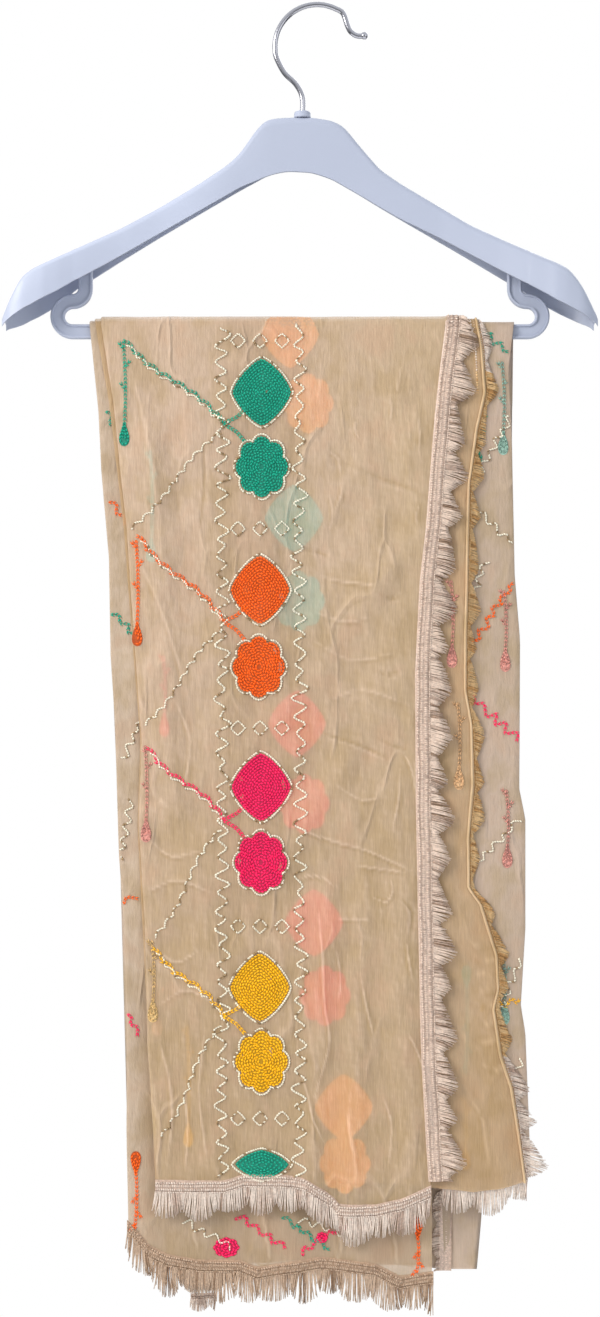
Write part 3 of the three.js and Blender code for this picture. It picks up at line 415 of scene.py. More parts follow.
def cloth_points(layer, left, right, hem, rows, columns, side=1, roll_left=(), roll_right=()):
    """One stretch from the crest to its hem, row by row: its points and how they bend."""
    first = roll_left[-1][0] if roll_left else 0.0
    last = roll_right[-1][0] if roll_right else 0.0
    shares = np.linspace(0, 1, columns)[bool(roll_left):columns - bool(roll_right)]
    rise = np.linspace(0, CAP_LENGTH, 7)
    legs = np.linspace(0, 1, rows)[1:]

    def strip(x_of, out):
        """One column down the cloth; x_of gives its x at a path."""
        end = 600.0
        for _ in range(4):
            end = float(column(hem, x_of(end)))
        path = np.concatenate([rise, CAP_LENGTH + (end - CAP_LENGTH) * legs])
        return np.stack([x_of(path), path, np.full(path.shape, float(out))], -1)

    strips = [strip(lambda p: column(left, p) + inside, out) for inside, out in roll_left]
    strips += [strip(lambda p: mix(column(left, p) + first, column(right, p) - last, s), 0.0) for s in shares]
    strips += [strip(lambda p: column(right, p) - inside, out) for inside, out in reversed(roll_right)]
    x, path, out = np.moveaxis(np.stack(strips, 1), -1, 0)
    return lay(layer, x, side * np.maximum(path, 1e-4), out), bending(layer, x, path)


def cloth_object(name, points, material):
    """One stretch of chiffon from its points and how they bend."""
    places, crest = points
    return make_object(name, places, grid_faces(*places.shape[:2]), material, crest=crest)


class Beads:
    """Many small grains or threads joined in one mesh."""

    def __init__(self):
        self.verts = []
        self.faces = []
        self.tints = []
        self.count = 0

    def add(self, verts, faces, tints=0):
        self.faces.append(np.asarray(faces) + self.count)
        self.tints.append(np.broadcast_to(tints, len(faces)))
        self.verts.append(verts)
        self.count += len(verts)

    def make(self, name, material):
        return make_object(name, np.concatenate(self.verts), np.concatenate(self.faces), material,
                           tints=np.concatenate(self.tints))


GRAIN = np.array([(-0.5, 0, 0), (0.5, 0, 0), (-0.05, 0.5, 0), (-0.05, -0.5, 0), (0, 0, 0.55), (0, 0, -0.35)])
GRAIN_FACES = [(0, 3, 4), (3, 1, 4), (1, 2, 4), (2, 0, 4), (3, 0, 5), (1, 3, 5), (2, 1, 5), (0, 2, 5)]


def grains(beads, layer, x, path, turn, length, width, out, height=None, tilt=0.0, tints=None):
    """Grains at (x, path) turned by an angle from +x towards the hem."""
    x, path, turn, length, width, out, tilt = (a[:, None] for a in np.broadcast_arrays(
        *(np.asarray(v, float) for v in (x, path, turn, length, width, out, tilt))))
    height = width * 0.9 if height is None else np.broadcast_to(height, len(x))[:, None]
    u = GRAIN[None, :, 0] * length
    v = GRAIN[None, :, 1] * width
    w = GRAIN[None, :, 2] * height + tilt * GRAIN[None, :, 0] * length
    px = x + u * np.cos(turn) - v * np.sin(turn)
    pp = path + u * np.sin(turn) + v * np.cos(turn)
    verts = lay(layer, px.ravel(), pp.ravel(), (out + w).ravel())
    beads.add(verts, repeated(GRAIN_FACES, len(GRAIN), len(x)),
              0 if tints is None else np.repeat(tints, len(GRAIN_FACES)))


def stitches(layer, points, step, closed=False):
    """Even stitches along a line, where the layer lies under them: x, path, direction and spacing."""
    points = np.asarray(points, float)
    if closed:
        points = np.vstack([points, points[:1]])
    gaps = np.hypot(*np.diff(points, axis=0).T)
    total = np.concatenate([[0], np.cumsum(gaps)])
    count = max(1, int(round(total[-1] / step)))
    phase = rng.uniform() if closed else 0.5
    at = (np.arange(count) + phase) / count * total[-1]
    half = total[-1] / count * 0.45
    x, path = (np.interp(at, total, points[:, k]) for k in (0, 1))
    dx, dp = (np.interp(at + half, total, points[:, k]) - np.interp(at - half, total, points[:, k])
              for k in (0, 1))
    left, right = layer["edges"]
    held = (x > column(left, path) + 1.2) & (x < column(right, path) - 1.2)
    return x[held], path[held], np.arctan2(dp, dx)[held], total[-1] / count


def chain(beads, layer, points, side=1, step=2.7, width=2.2, out=0.5):
    """A line of chain stitch: each link is two strands that meet where the next link begins."""
    x, p, turn, real = stitches(layer, points, step)
    keep = rng.uniform(0.88, 1.12, len(x))
    for hand in (-1, 1):
        lean = turn + hand * 0.26 + rng.normal(0, 0.05, len(x))
        sx = x - hand * 0.26 * width * np.sin(turn)
        sp = p + hand * 0.26 * width * np.cos(turn)
        grains(beads, layer, sx, side * sp, side * lean, real * 1.25, width * 0.42 * keep, out, tilt=0.12)


def rope(beads, layer, points, side, step, width, hand):
    """A closed row of slanting stitches, as close rows of chain stitch look."""
    x, p, turn, real = stitches(layer, points, step, True)
    lean = turn + hand * 0.38 + rng.normal(0, 0.07, len(x))
    wide = width * rng.uniform(0.9, 1.2, len(x))
    grains(beads, layer, x, side * p, side * lean, real * 1.3, wide, 0.5, wide * 0.8, tilt=0.12)


def twist(layer, points, side=1, step=1.6, width=1.4, closed=False):
    """A metallic thread: short slanting turns of light, with every few of them dark."""
    x, p, turn, real = stitches(layer, points, step, closed)
    lean = turn + 0.42 + rng.normal(0, 0.16, len(x))
    dark = rng.uniform(size=len(x)) < 0.17
    wide = width * rng.uniform(0.75, 1.2, len(x))
    for beads, chosen in ((cream, ~dark), (fleck, dark)):
        if chosen.any():
            path = side * p[chosen]
            grains(beads, layer, x[chosen], path, side * lean[chosen], real * 1.5, wide[chosen], 0.6,
                   tilt=0.1)


def across_line(start, end, t, across, along=0.0):
    """Points at t from start to end, moved across the line and along it."""
    (x0, p0), (x1, p1) = start, end
    size = math.hypot(x1 - x0, p1 - p0)
    return np.stack([mix(x0, x1, t) + -(p1 - p0) / size * across + along * (x1 - x0) / size,
                     mix(p0, p1, t) + (x1 - x0) / size * across + along * (p1 - p0) / size], -1)


def zigzag(start, end, pitch=9, reach=2.2, jitter=0.25):
    """Points of an uneven zigzag between two places of the layout grid."""
    start, end = spot(*start), spot(*end)
    count = max(2, int(round(math.dist(start, end) / (pitch / 2))))
    t = np.linspace(0, 1, count + 1)
    across = np.where(np.arange(count + 1) % 2 == 0, 1, -1) * reach * (1 + rng.normal(0, jitter, count + 1))
    return catmull(across_line(start, end, t, across, rng.normal(0, 0.6, count + 1)), 5)


def scallops(start, end, pitch=11):
    """Points of a line of small arcs between two places of the layout grid, as a vine is drawn."""
    start, end = spot(*start), spot(*end)
    arcs = max(2, int(round(math.dist(start, end) / pitch)))
    t = np.linspace(0, 1, arcs * 8 + 1)
    rise = 2.4 * np.abs(np.sin(math.pi * arcs * t)) + 2.2 * np.sin(2 * math.pi * t)
    return across_line(start, end, t, rise)


# ------------------------------------------------------------------ materials


def new_material(name):
    made = bpy.data.materials.new(name)
    made.use_nodes = True
    tree = made.node_tree
    return made, tree, tree.nodes["Principled BSDF"]


def feed(tree, node, inputs):
    """Sets a node's inputs, by name or place, to numbers or to other nodes' outputs."""
    for key, value in inputs.items():
        if isinstance(value, bpy.types.NodeSocket):
            tree.links.new(value, node.inputs[key])
        else:
            node.inputs[key].default_value = value


def add(tree, kind, inputs, **properties):
    made = tree.nodes.new("ShaderNode" + kind)
    for name, value in properties.items():
        setattr(made, name, value)
    feed(tree, made, inputs)
    return made


def srgb(*colour):
    return tuple(((c / 255 + 0.055) / 1.055) ** 2.4 if c > 10.3 else c / 255 / 12.92 for c in colour) + (1,)


def scaled(colour, times, more=0):
    return srgb(*[min(255, c * times + more) for c in colour])


def metres(tree, scale, turn=0.0):
    """The object's own metres, stretched on each axis and turned about x."""
    coords = add(tree, "TexCoord", {}).outputs["Object"]
    mapping = add(tree, "Mapping", {"Vector": coords, "Scale": scale, "Rotation": (turn, 0, 0)})
    return mapping.outputs["Vector"]


def axes(tree):
    """The object's own x, y and z."""
    return add(tree, "SeparateXYZ", {"Vector": add(tree, "TexCoord", {}).outputs["Object"]}).outputs


def cloth_plane(tree, across, down):
    """The object's own x and z as a flat plane."""
    return metres(tree, (across, 1, down), math.pi / 2)


def noise(tree, scale, detail):
    """Noise with so many cells to a metre."""
    return add(tree, "TexNoise", {"Vector": metres(tree, (scale, scale, scale)), "Scale": 1, "Detail": detail,
                                  "Roughness": 0.55}).outputs["Fac"]


def weave_noise(tree, across, down, detail=2.0, rough=0.55):
    """Flat noise over the hanging cloth, with so many cells for each metre across and down."""
    return add(tree, "TexNoise", {"Vector": cloth_plane(tree, across, down), "Scale": 1, "Detail": detail,
                                  "Roughness": rough}, noise_dimensions="2D").outputs["Fac"]


def span(tree, value, low, high, to_low=0, to_high=1):
    """A value's way from low to high, held within them, as a way from to_low to to_high."""
    return add(tree, "MapRange", {"Value": value, "From Min": low, "From Max": high, "To Min": to_low,
                                  "To Max": to_high}).outputs["Result"]


def blend_colours(tree, fac, a, b):
    return add(tree, "Mix", {0: fac, 6: a, 7: b}, data_type="RGBA").outputs[2]


def product(tree, a, b):
    return add(tree, "Math", {0: a, 1: b}, operation="MULTIPLY").outputs[0]


def bump(tree, height, distance, strength, after=()):
    return add(tree, "Bump", {"Height": height, "Distance": distance, "Strength": strength,
                              **dict(after)}).outputs["Normal"]


def creased(tree, across, down, thin, warp):
    """Ridge lines where irregular cells meet, as crushed chiffon keeps them: 1 on a line, 0 beside it."""
    plane = cloth_plane(tree, across, down)
    wander = add(tree, "TexNoise", {"Vector": plane, "Scale": 1.6, "Detail": 1}, noise_dimensions="2D")
    moved = add(tree, "VectorMath", {0: wander.outputs["Color"], 1: (warp, warp, warp), 2: plane},
                operation="MULTIPLY_ADD")
    cells = add(tree, "TexVoronoi", {"Vector": moved.outputs["Vector"], "Scale": 1}, voronoi_dimensions="2D",
                feature="DISTANCE_TO_EDGE")
    return span(tree, cells.outputs["Distance"], 0.0, thin, 1, 0)


def chiffon(name, light, dark, alpha, crush=1.0, tints=()):
    """Sheer cloth. tints are rows (axis, ramps, colour): the colour comes in along each ramp of
    metres on that axis, from its first place to its second."""
    made, tree, shader = new_material(name)

    def darker(*times):
        return srgb(*[c * t for c, t in zip(dark, times)])

    slub = weave_noise(tree, 1300, 90, 3)
    colour = blend_colours(tree, span(tree, weave_noise(tree, 9, 5), 0.36, 0.64), srgb(*light), srgb(*dark))
    for axis, ramps, tint in tints:
        shares = [span(tree, axes(tree)[axis], start, full) for start, full in ramps]
        share = product(tree, *shares) if len(shares) == 2 else shares[0]
        colour = blend_colours(tree, share, colour, srgb(*tint))
    blotch = weave_noise(tree, 40, 30, 3, 0.6)
    streak = weave_noise(tree, 560, 44, 2, 0.5)
    crushed = span(tree, weave_noise(tree, 24, 15), 0.47, 0.62)
    ridges = product(tree, creased(tree, 30, 11, 0.06, 0.5), crushed)
    crest = add(tree, "Attribute", {}, attribute_name="crest").outputs["Fac"]
    for share, over in ((span(tree, blotch, 0.47, 0.68, 0.0, 0.5), darker(0.92, 0.9, 0.78)),
                        (span(tree, blotch, 0.46, 0.3, 0.0, 0.4), darker(1.03, 0.975, 0.95)),
                        (span(tree, slub, 0.3, 0.7, 0.0, 0.13), darker(0.86, 0.86, 0.86)),
                        (span(tree, streak, 0.64, 0.74, 0.0, 0.18), scaled(light, 1.12)),
                        # painted highlight: the colour turns lighter along the crease lines
                        (product(tree, ridges, 0.3 * crush), scaled(light, 1.1, 6)),
                        # painted highlight where the cloth bends to a ridge, painted shade where it bends to
                        # a hollow
                        (span(tree, crest, 0.05, 1, 0, 0.5), scaled(light, 1.1, 8)),
                        (span(tree, crest, -0.05, -1, 0, 0.5), darker(0.84, 0.81, 0.66))):
        colour = blend_colours(tree, share, colour, over)
    crinkle = bump(tree, weave_noise(tree, 260, 90, 4, 0.65), 0.0014, 0.55)
    feed(tree, shader, {"Base Color": colour, "Alpha": span(tree, slub, 0.3, 0.7, alpha - 0.07, alpha + 0.07),
                        "Roughness": 0.6, "Specular IOR Level": 0.3, "Sheen Weight": 0.2,
                        "Normal": bump(tree, ridges, 0.0011 * crush, 0.8, {"Normal": crinkle})})
    return made


def thread(name, colour, rough, vary=0.25, painted_glow=0.0):
    """Spun thread with darker specks; its last argument makes it give off light of its own colour, a painted
    glow that stands in for the silk's sheen.
    """
    made, tree, shader = new_material(name)
    specks = span(tree, noise(tree, 700, 1), 0.35, 0.65)
    feed(tree, shader, {"Base Color": blend_colours(tree, specks, srgb(*colour), scaled(colour, 1 - vary)),
                        "Roughness": rough})
    # painted glow: emission in the thread's own colour
    if painted_glow:
        feed(tree, shader, {"Emission Color": srgb(*colour), "Emission Strength": painted_glow})
    return made


def palette(name, *grades):
    """Light, middle and dark copies of one thread, as painted highlight and painted shade on lace and fringe:
    colour, roughness and how dark the specks are.
    """
    return [thread(name + "_" + grade, *facts) for grade, facts in zip(("light", "middle", "dark"), grades)]


outer_chiffon = chiffon("outer_chiffon", (224, 197, 173), (216, 189, 161), 0.56, 1.0, [
    ("X", [(-0.02, 0.06)], (216, 190, 156)),
    ("X", [(-0.064, -0.058), (-0.010, -0.016)], (207, 179, 152)),
    ("Z", [(-0.34, -0.74)], (199, 172, 137))])
second_chiffon = chiffon("second_chiffon", (198, 168, 133), (190, 158, 118), 0.7, 0.6)
# painted shade: the second end's colours are darkened for the shade it lies in below the front hem
shaded_end_chiffon = chiffon("shaded_end_chiffon", (185, 162, 136), (177, 152, 125), 0.84, 0.7, [
    ("X", [(-0.1105, -0.1205)], (198, 176, 153))])
# painted highlight: the lip's chiffon is lighter than the second layer's
highlit_lip_chiffon = chiffon("highlit_lip_chiffon", (216, 186, 146), (203, 171, 131), 0.94)
inner_chiffon = chiffon("inner_chiffon", (190, 168, 150), (181, 159, 136), 0.95, 0.7)
COLOURS = {"green": (2, 176, 144), "orange": (255, 104, 8), "pink": (255, 26, 100), "yellow": (255, 192, 2)}
SEEN_THROUGH_LIGHTENED = {      # the lower layers' thread colours where chiffon hangs over them, made lighter than their own: painted light against the shade of the chiffon above
    "green": (70, 200, 190), "orange": (255, 176, 84), "pink": (255, 112, 108), "yellow": (255, 196, 70),
}
CLOTH_COLOUR = np.array((216, 192, 170))
threads, shaded_ground_threads, faded, ghosts = {}, {}, {}, {}
# every set here but the faded one gives off a little light of its own colour: painted glow
for name, colour in COLOURS.items():
    seen = SEEN_THROUGH_LIGHTENED[name]
    threads[name] = thread("thread_" + name, colour, 0.5, 0.16, 0.05 if name == "green" else 0.2)
    # painted shade: the ground under a filled motif is its thread colour darkened to 0.7, for the shade
    # between the rows of stitches
    shaded_ground_threads[name] = thread("ground_" + name, [c * 0.7 for c in colour], 0.7, 0.1, 0.06)
    faded[name] = thread("faded_" + name, mix(CLOTH_COLOUR, np.array(seen), 0.4), 0.7)
    ghosts[name] = thread("ghost_" + name, seen, 0.7, 0.06, 0.1)
cream_thread = thread("cream_thread", (255, 248, 226), 0.3, 0.12)
fleck_thread = thread("fleck_thread", (176, 146, 104), 0.4, 0.3)
SILVER = palette("silver",
                 ((242, 226, 212), 0.3, 0.08), ((222, 200, 184), 0.36, 0.12), ((200, 172, 154), 0.5, 0.16))
WARM = palette("warm",
                 ((242, 220, 202), 0.32, 0.08), ((212, 186, 168), 0.38, 0.12), ((180, 150, 126), 0.5, 0.16))
EARTH = palette("earth",
                 ((211, 183, 157), 0.36, 0.1), ((181, 150, 123), 0.4, 0.12), ((150, 119, 92), 0.5, 0.16))
# darker, warmer threads for the fringe behind the second layer's lip: partly painted shade
AMBER = palette("amber",
                 ((238, 202, 148), 0.5, 0.1), ((222, 174, 112), 0.5, 0.12), ((194, 146, 88), 0.5, 0.16))

# ------------------------------------------------------------------ the cloth
fold = rolled(1.3, 10)
lip = rolled(1.1, 8)
front_points = cloth_points(FRONT, FRONT_LEFT, FRONT_EDGE, FRONT_HEM, 320, 170, 1, fold)
rear_points = cloth_points(REAR, REAR_LEFT, REAR_EDGE, CROSS_FOLD, 200, 170, -1, fold)
outer_points = [np.concatenate([rear[:0:-1], front]) for rear, front in zip(rear_points, front_points)]
outer = cloth_object("outer_layer", outer_points, outer_chiffon)
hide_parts("dupatta_front_outer", "dupatta_rear_outer")
second = cloth_object("second_layer", cloth_points(
    SECOND, SECOND_LEFT, SECOND_EDGE, SECOND_HEM, 150, 110, 1, rolled(1.0, 6), lip), second_chiffon)
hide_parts("dupatta_front_second")
second_end = cloth_object("second_end", cloth_points(
    SECOND_END, LOWER_LEFT, [(0, 87)], END_HEM, 170, 110, 1, rolled(1.2, 8)), shaded_end_chiffon)
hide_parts("dupatta_second_end")
rear_second = cloth_object("rear_second_layer", cloth_points(
    REAR_SECOND, [(0, 40)], REAR_SECOND_EDGE, [(0, 629)], 110, 40, -1, (), lip), second_chiffon)
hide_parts("dupatta_rear_second")


def inner_body():
    """The hidden layers: front face, lips of the folds, rear face, over the bar."""
    columns = 70
    lips = [0.3, 3.6, 5.0, 2.4, 1.6, 4.6, 6.2, 3.2, 2.2]      # how far in each fold's lip lies, front to rear
    back_depth = [(0, 0.3), (24, 0.4), (75, -2.2), (400, -2.3), (660, -1.6)]
    over_bar = np.linspace(0, CAP_LENGTH, 7)
    paths = np.concatenate([-np.linspace(640, CAP_LENGTH, 120), -over_bar[-2:0:-1], over_bar,
                            np.linspace(CAP_LENGTH, 560, 110)[1:]])
    rings = []
    for path in paths:
        length = abs(path)
        left = column(INNER_REAR_LEFT if path < 0 else INNER_LEFT, length)
        right = column(REAR_RIGHT if path < 0 else RIGHT_FOLD, length)
        top = column(INNER["depth"], length)
        bottom = column(back_depth, length)
        x = np.linspace(left, right - 0.8, columns)
        low = np.full(columns, length)
        if path < -600:
            low = 600 + (length - 600) / 40 * (column(CROSS_FOLD, x) - 4 - 600)
        elif path > 530:
            hem = np.where(x < 84, column(FRONT_HEM, x) + 2, column(SECOND_HEM, x) - 2)
            low = 530 + (length - 530) / 30 * (hem - 530)
        signed = np.where(path < 0, -low, low)
        face = hang(x, signed, top + relief(INNER, x, low))
        back = hang(x[::-1], signed[::-1], np.full(columns, bottom))
        thin = 1 if length > 60 else 0.6
        edge = [(inside * thin, mix(top, bottom, (k + 1) / (len(lips) + 1))) for k, inside in enumerate(lips)]
        right_lips = [hang(right - inside, signed[-1], out) for inside, out in edge]
        left_lips = [hang(left - 2.6 + inside, signed[0], out) for inside, out in reversed(edge)]
        rings.append(np.concatenate([face, right_lips, back, left_lips]))
    return np.stack(rings)


inner_points = inner_body()
inner = make_object("folded_layers", inner_points, grid_faces(*inner_points.shape[:2], closed=True),
                    inner_chiffon)
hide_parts("dupatta_folded_layers")

# ------------------------------------------------------------------ embroidery
COLUMN_X = 260               # the embroidered column's middle and its two lines on the layout grid
COLUMN_LINES = (222, 299)
LOZENGE_SIZE = (19.5, 22.5)  # half width and half height
ROSETTE_SIZE = (17.4, 20.4)
embroidery, faded_work, grounds, ghost_work = ({name: Beads() for name in COLOURS} for _ in range(4))
SETS = {False: embroidery, True: faded_work, "ghost": ghost_work}
cream = Beads()
fleck = Beads()


def rosette(radius_x, radius_p, petals=8):
    """The outline of a rosette, about its own middle."""
    turn = circle(96)
    reach = 0.84 + 0.16 * np.abs(np.cos(petals * turn / 2)) ** 0.8
    return np.stack([radius_x * reach * np.cos(turn), radius_p * reach * np.sin(turn)], -1)


def lozenge(radius_x, radius_p):
    """The outline of a soft lozenge, about its own middle."""
    c, s = np.cos(circle(96)), np.sin(circle(96))
    reach = (np.abs(c) ** 1.35 + np.abs(s) ** 1.35) ** (-1 / 1.35)
    return np.stack([radius_x * reach * c, radius_p * reach * s], -1)


def bud(radius_x, radius_p):
    """The outline of a bud that narrows to one end."""
    turn = circle(48)
    narrow = 0.62 + 0.38 * np.sin(turn)
    return np.stack([radius_x * narrow * np.cos(turn), radius_p * np.sin(turn)], -1)


def ground(beads, layer, centre, shape, side):
    """The plain patch under a filled motif."""
    count = len(shape)
    rings = np.concatenate([shape * 0.97 * s for s in (1, 0.66, 0.33)] + [np.zeros((1, 2))])
    verts = lay(layer, centre[0] + rings[:, 0], side * (centre[1] + rings[:, 1]), 0.22)
    middle = [(2 * count + k, 2 * count + (k + 1) % count, 3 * count) for k in range(count)]
    beads.add(verts, np.concatenate([halved(grid_faces(3, count, closed=True)), middle]))


def filled(colour, layer, centre, shape, side=1, pale=False, outline=True, step=2.3, row=1.8):
    """A motif filled with rows of chain stitch that follow its outline inwards."""
    size = np.abs(shape).max(0).min() + 1e-6
    # unless pale, the patch takes the darkened ground threads: painted shade between the rows
    ground((SETS[pale] if pale else grounds)[colour], layer, centre, shape, side)
    inset, hand = row * 0.5, 1
    while inset < size - 0.4:
        rope(SETS[pale][colour], layer, shape * (1 - inset / size) + centre, side, step, row * 0.76, hand)
        inset += row
        hand = -hand
    if outline and not pale:
        twist(layer, shape * (1 + 1.0 / size) + centre, side, width=1.5, closed=True)


def motifs(layer, name, upper, lower, side=1, pale=False):
    """A lozenge above a rosette."""
    filled(name, layer, upper, lozenge(*LOZENGE_SIZE), side, pale)
    filled(name, layer, lower, rosette(*ROSETTE_SIZE), side, pale)


def sprigs(layer, pale, rows):
    """Upright stems: colour, top across and down, and length; each has a bud at its end and three leaves."""
    for colour, across, down, length in rows:
        x0, p0 = spot(across, down)
        way = 1 if length > 0 else -1
        t = np.linspace(0, 1, 24)
        stem = np.stack([x0 + 1.5 * np.sin(2.6 * t), p0 + length * t], -1)
        beads = SETS[pale][colour]
        chain(beads, layer, stem, width=2.3)
        end = stem[-1]
        filled(colour, layer, (end[0], end[1] + way * 6), bud(5.0, 8.0 * way), 1, pale, False, 2.4, 1.6)
        for share, hand in ((0.12, -1), (0.34, 1), (0.58, -1)):
            at = stem[int(share * (len(stem) - 1))]
            leaf = [at, (at[0] + hand * 2.0, at[1] - way * 1.2), (at[0] + hand * 3.4, at[1] - way * 4.2)]
            chain(beads, layer, leaf, step=2.4)


def column_of_motifs(layer, groups, side=1):
    """The embroidered column: coloured groups between two zigzag lines."""
    for name, upper, lower in groups:
        places = [spot(COLUMN_X + rng.uniform(-2, 2), down) for down in (upper, lower)]
        motifs(layer, name, *places, side)
    for across in COLUMN_LINES:
        twist(layer, zigzag((across, 326), (across + 1, 1176), 11.6, 3.3, 0.34), side, 1.75, 1.6)


def vine(layer, name, start, end, side=1):
    """A diagonal vine from the column to the fold, and a metallic line that falls below it."""
    chain(embroidery[name], layer, scallops(start, end), side, 2.8, 2.4, 0.6)
    if side > 0:
        twist(layer, scallops((start[0], start[1] + 4), (end[0] + 4, end[1] + 5)))
    foot = (end[0] + (10 if side > 0 else 8), end[1] + 190)
    twist(layer, scallops((start[0], start[1] + 10), foot, 9), side)


def vine_stems(layer, name, start):
    """The two short stems that join a vine to its motifs."""
    x0, p0 = spot(*start)
    for dx, dp in ((20, -13), (19, 15)):
        stem = [(x0 + 1, p0), (x0 + dx * 0.5, p0 + dp * 0.35), (x0 + dx * 0.8, p0 + dp * 0.8)]
        chain(embroidery[name], layer, stem, 1, 2.8, 2.7, 0.6)


def coloured_lines(layer, reach, width, rows):
    """Zigzags of chain stitch: colour, start and end of each."""
    for name, start, end in rows:
        chain(embroidery[name], layer, zigzag(start, end, reach=reach), width=width)


def metallic_lines(layer, rows):
    """Zigzags of metallic thread: start and end of each."""
    for start, end in rows:
        twist(layer, zigzag(start, end))


column_of_motifs(FRONT, [("green", 392, 467), ("orange", 590, 667), ("pink", 787, 862),
                         ("yellow", 987, 1061)])

# between the groups: three small eyelets of metallic thread
for down in (340, 529, 728, 926, 1118):
    for across in (238, 260, 282):
        turn = circle(12)
        reach = 4.6 * np.cos(turn) * (0.6 + 0.4 * np.abs(np.cos(2 * turn)))
        rise = 4.6 * np.sin(turn) * (0.6 + 0.4 * np.abs(np.cos(2 * turn)))
        twist(FRONT, np.stack([reach, rise], -1) + spot(across, down), 1, 1.5, 1.3, closed=True)

# the fifth group begins under the front hem
filled("green", FRONT, spot(262, 1164), lozenge(18, 10))

# vines and sprigs in the field, from the border to the left fold
for name, start, end in (("green", (222, 424), (122, 340)), ("orange", (222, 622), (136, 536)),
                         ("pink", (222, 820), (146, 748)), ("yellow", (222, 1015), (152, 948))):
    vine(FRONT, name, start, end)
    vine_stems(FRONT, name, start)
sprigs(FRONT, False, [("green", 123, 340, 56), ("orange", 136, 540, 56)])
sprigs(FRONT, True, [("pink", 145, 745, 50), ("yellow", 152, 940, 40)])

# the layers below: the same column a little further right, seen through the outer layer
for name, upper, lower in (("orange", (290, 334), (308, 403)), ("green", (294, 518), (299, 601)),
                           ("pink", (297, 724), (304, 804)), ("pink", (314, 923), (325, 996)),
                           ("orange", (344, 1108), (345, 1164))):
    motifs(SECOND, name, spot(*upper), spot(*lower), 1, "ghost")
sprigs(SECOND, "ghost", [("green", 150, 450, 60), ("pink", 163, 655, 40), ("yellow", 187, 1026, 66),
                         ("orange", 156, 985, 20)])
sprigs(SECOND, True, [("pink", 451, 580, 44), ("orange", 458, 702, 44)])
sprigs(INNER, "ghost", [("green", 466, 1076, -58), ("yellow", 465, 1100, 34)])

# the strip at the right fold
coloured_lines(INNER, 2.2, 2.1, [
    ("green", (474, 322), (522, 362)), ("green", (478, 470), (486, 380)), ("orange", (470, 650), (516, 580)),
    ("pink", (468, 694), (520, 740)), ("yellow", (480, 1010), (524, 1000))])
metallic_lines(INNER, [
    ((482, 470), (520, 400)), ((478, 512), (516, 545)), ((472, 870), (520, 820)), ((492, 1030), (522, 960)),
    ((500, 1100), (524, 1060)), ((474, 596), (486, 560))])
sprigs(INNER, True, [("green", 503, 360, 48), ("pink", 505, 590, 40), ("pink", 507, 790, 38),
                     ("green", 504, 960, 30)])

# the second end: at the left fold and below the front hem
coloured_lines(SECOND_END, 2.0, 2.2, [
    ("green", (106, 410), (122, 432)), ("orange", (110, 500), (126, 522)), ("green", (112, 612), (138, 640)),
    ("orange", (122, 905), (136, 898)), ("pink", (124, 1014), (140, 1036)),
    ("pink", (238, 1218), (286, 1250)),
    ("green", (282, 1218), (330, 1252)), ("pink", (300, 1256), (352, 1222))])
sprigs(SECOND_END, False, [("orange", 134, 1232, -38), ("orange", 417, 1276, -24)])
filled("pink", SECOND_END, spot(226, 1250), rosette(9, 7), outline=False)
filled("pink", SECOND_END, spot(322, 1240), rosette(4, 4), outline=False)
metallic_lines(SECOND_END, [
    ((150, 700), (122, 760)), ((130, 800), (120, 860)), ((182, 1222), (232, 1250)),
    ((300, 1222), (360, 1240))])

# the rear: the same embroidery goes on over the bar and down the back
column_of_motifs(REAR, [("yellow", 380, 455), ("pink", 575, 650), ("orange", 772, 848),
                        ("green", 970, 1046)], -1)
for name, start, end in (("yellow", (222, 414), (112, 330)), ("pink", (222, 612), (122, 530)),
                         ("orange", (222, 808), (128, 730)), ("green", (222, 1004), (134, 930))):
    vine(REAR, name, start, end, -1)
motifs(REAR, "yellow", spot(262, 1170), spot(262, 1244), -1)

for name in COLOURS:
    for title, beads, material in (("embroidery_", embroidery, threads), ("ground_", grounds, shaded_ground_threads),
                                   ("faded_", faded_work, faded), ("ghost_", ghost_work, ghosts)):
        if beads[name].count:
            beads[name].make(title + name, material[name])
cream.make("metallic_lines", cream_thread)
fleck.make("metallic_flecks", fleck_thread)

# ------------------------------------------------------------------ lace and fringe
# rows of stitches across the band: place, spacing, length, width and slant of each
LACE_ROWS = [(0.08, 1.7, 1.9, 1.6, 0.35), (0.35, 1.2, 2.9, 0.95, 1.45), (0.68, 1.2, 2.9, 0.95, -1.45),
             (0.92, 1.6, 2.0, 1.0, 0.0)]
SIDE, DOWN = (1, 0), (0, 1)


def silvered(tones, t):
    """The second edge's fringe is silvery at its top and foot and amber between them, where it lies behind
    the lip: partly the cloth over it, partly painted shade.
    """
    return np.where((t < 0.06) | (t > 0.86), 3, 0) if len(tones) > 3 else 0


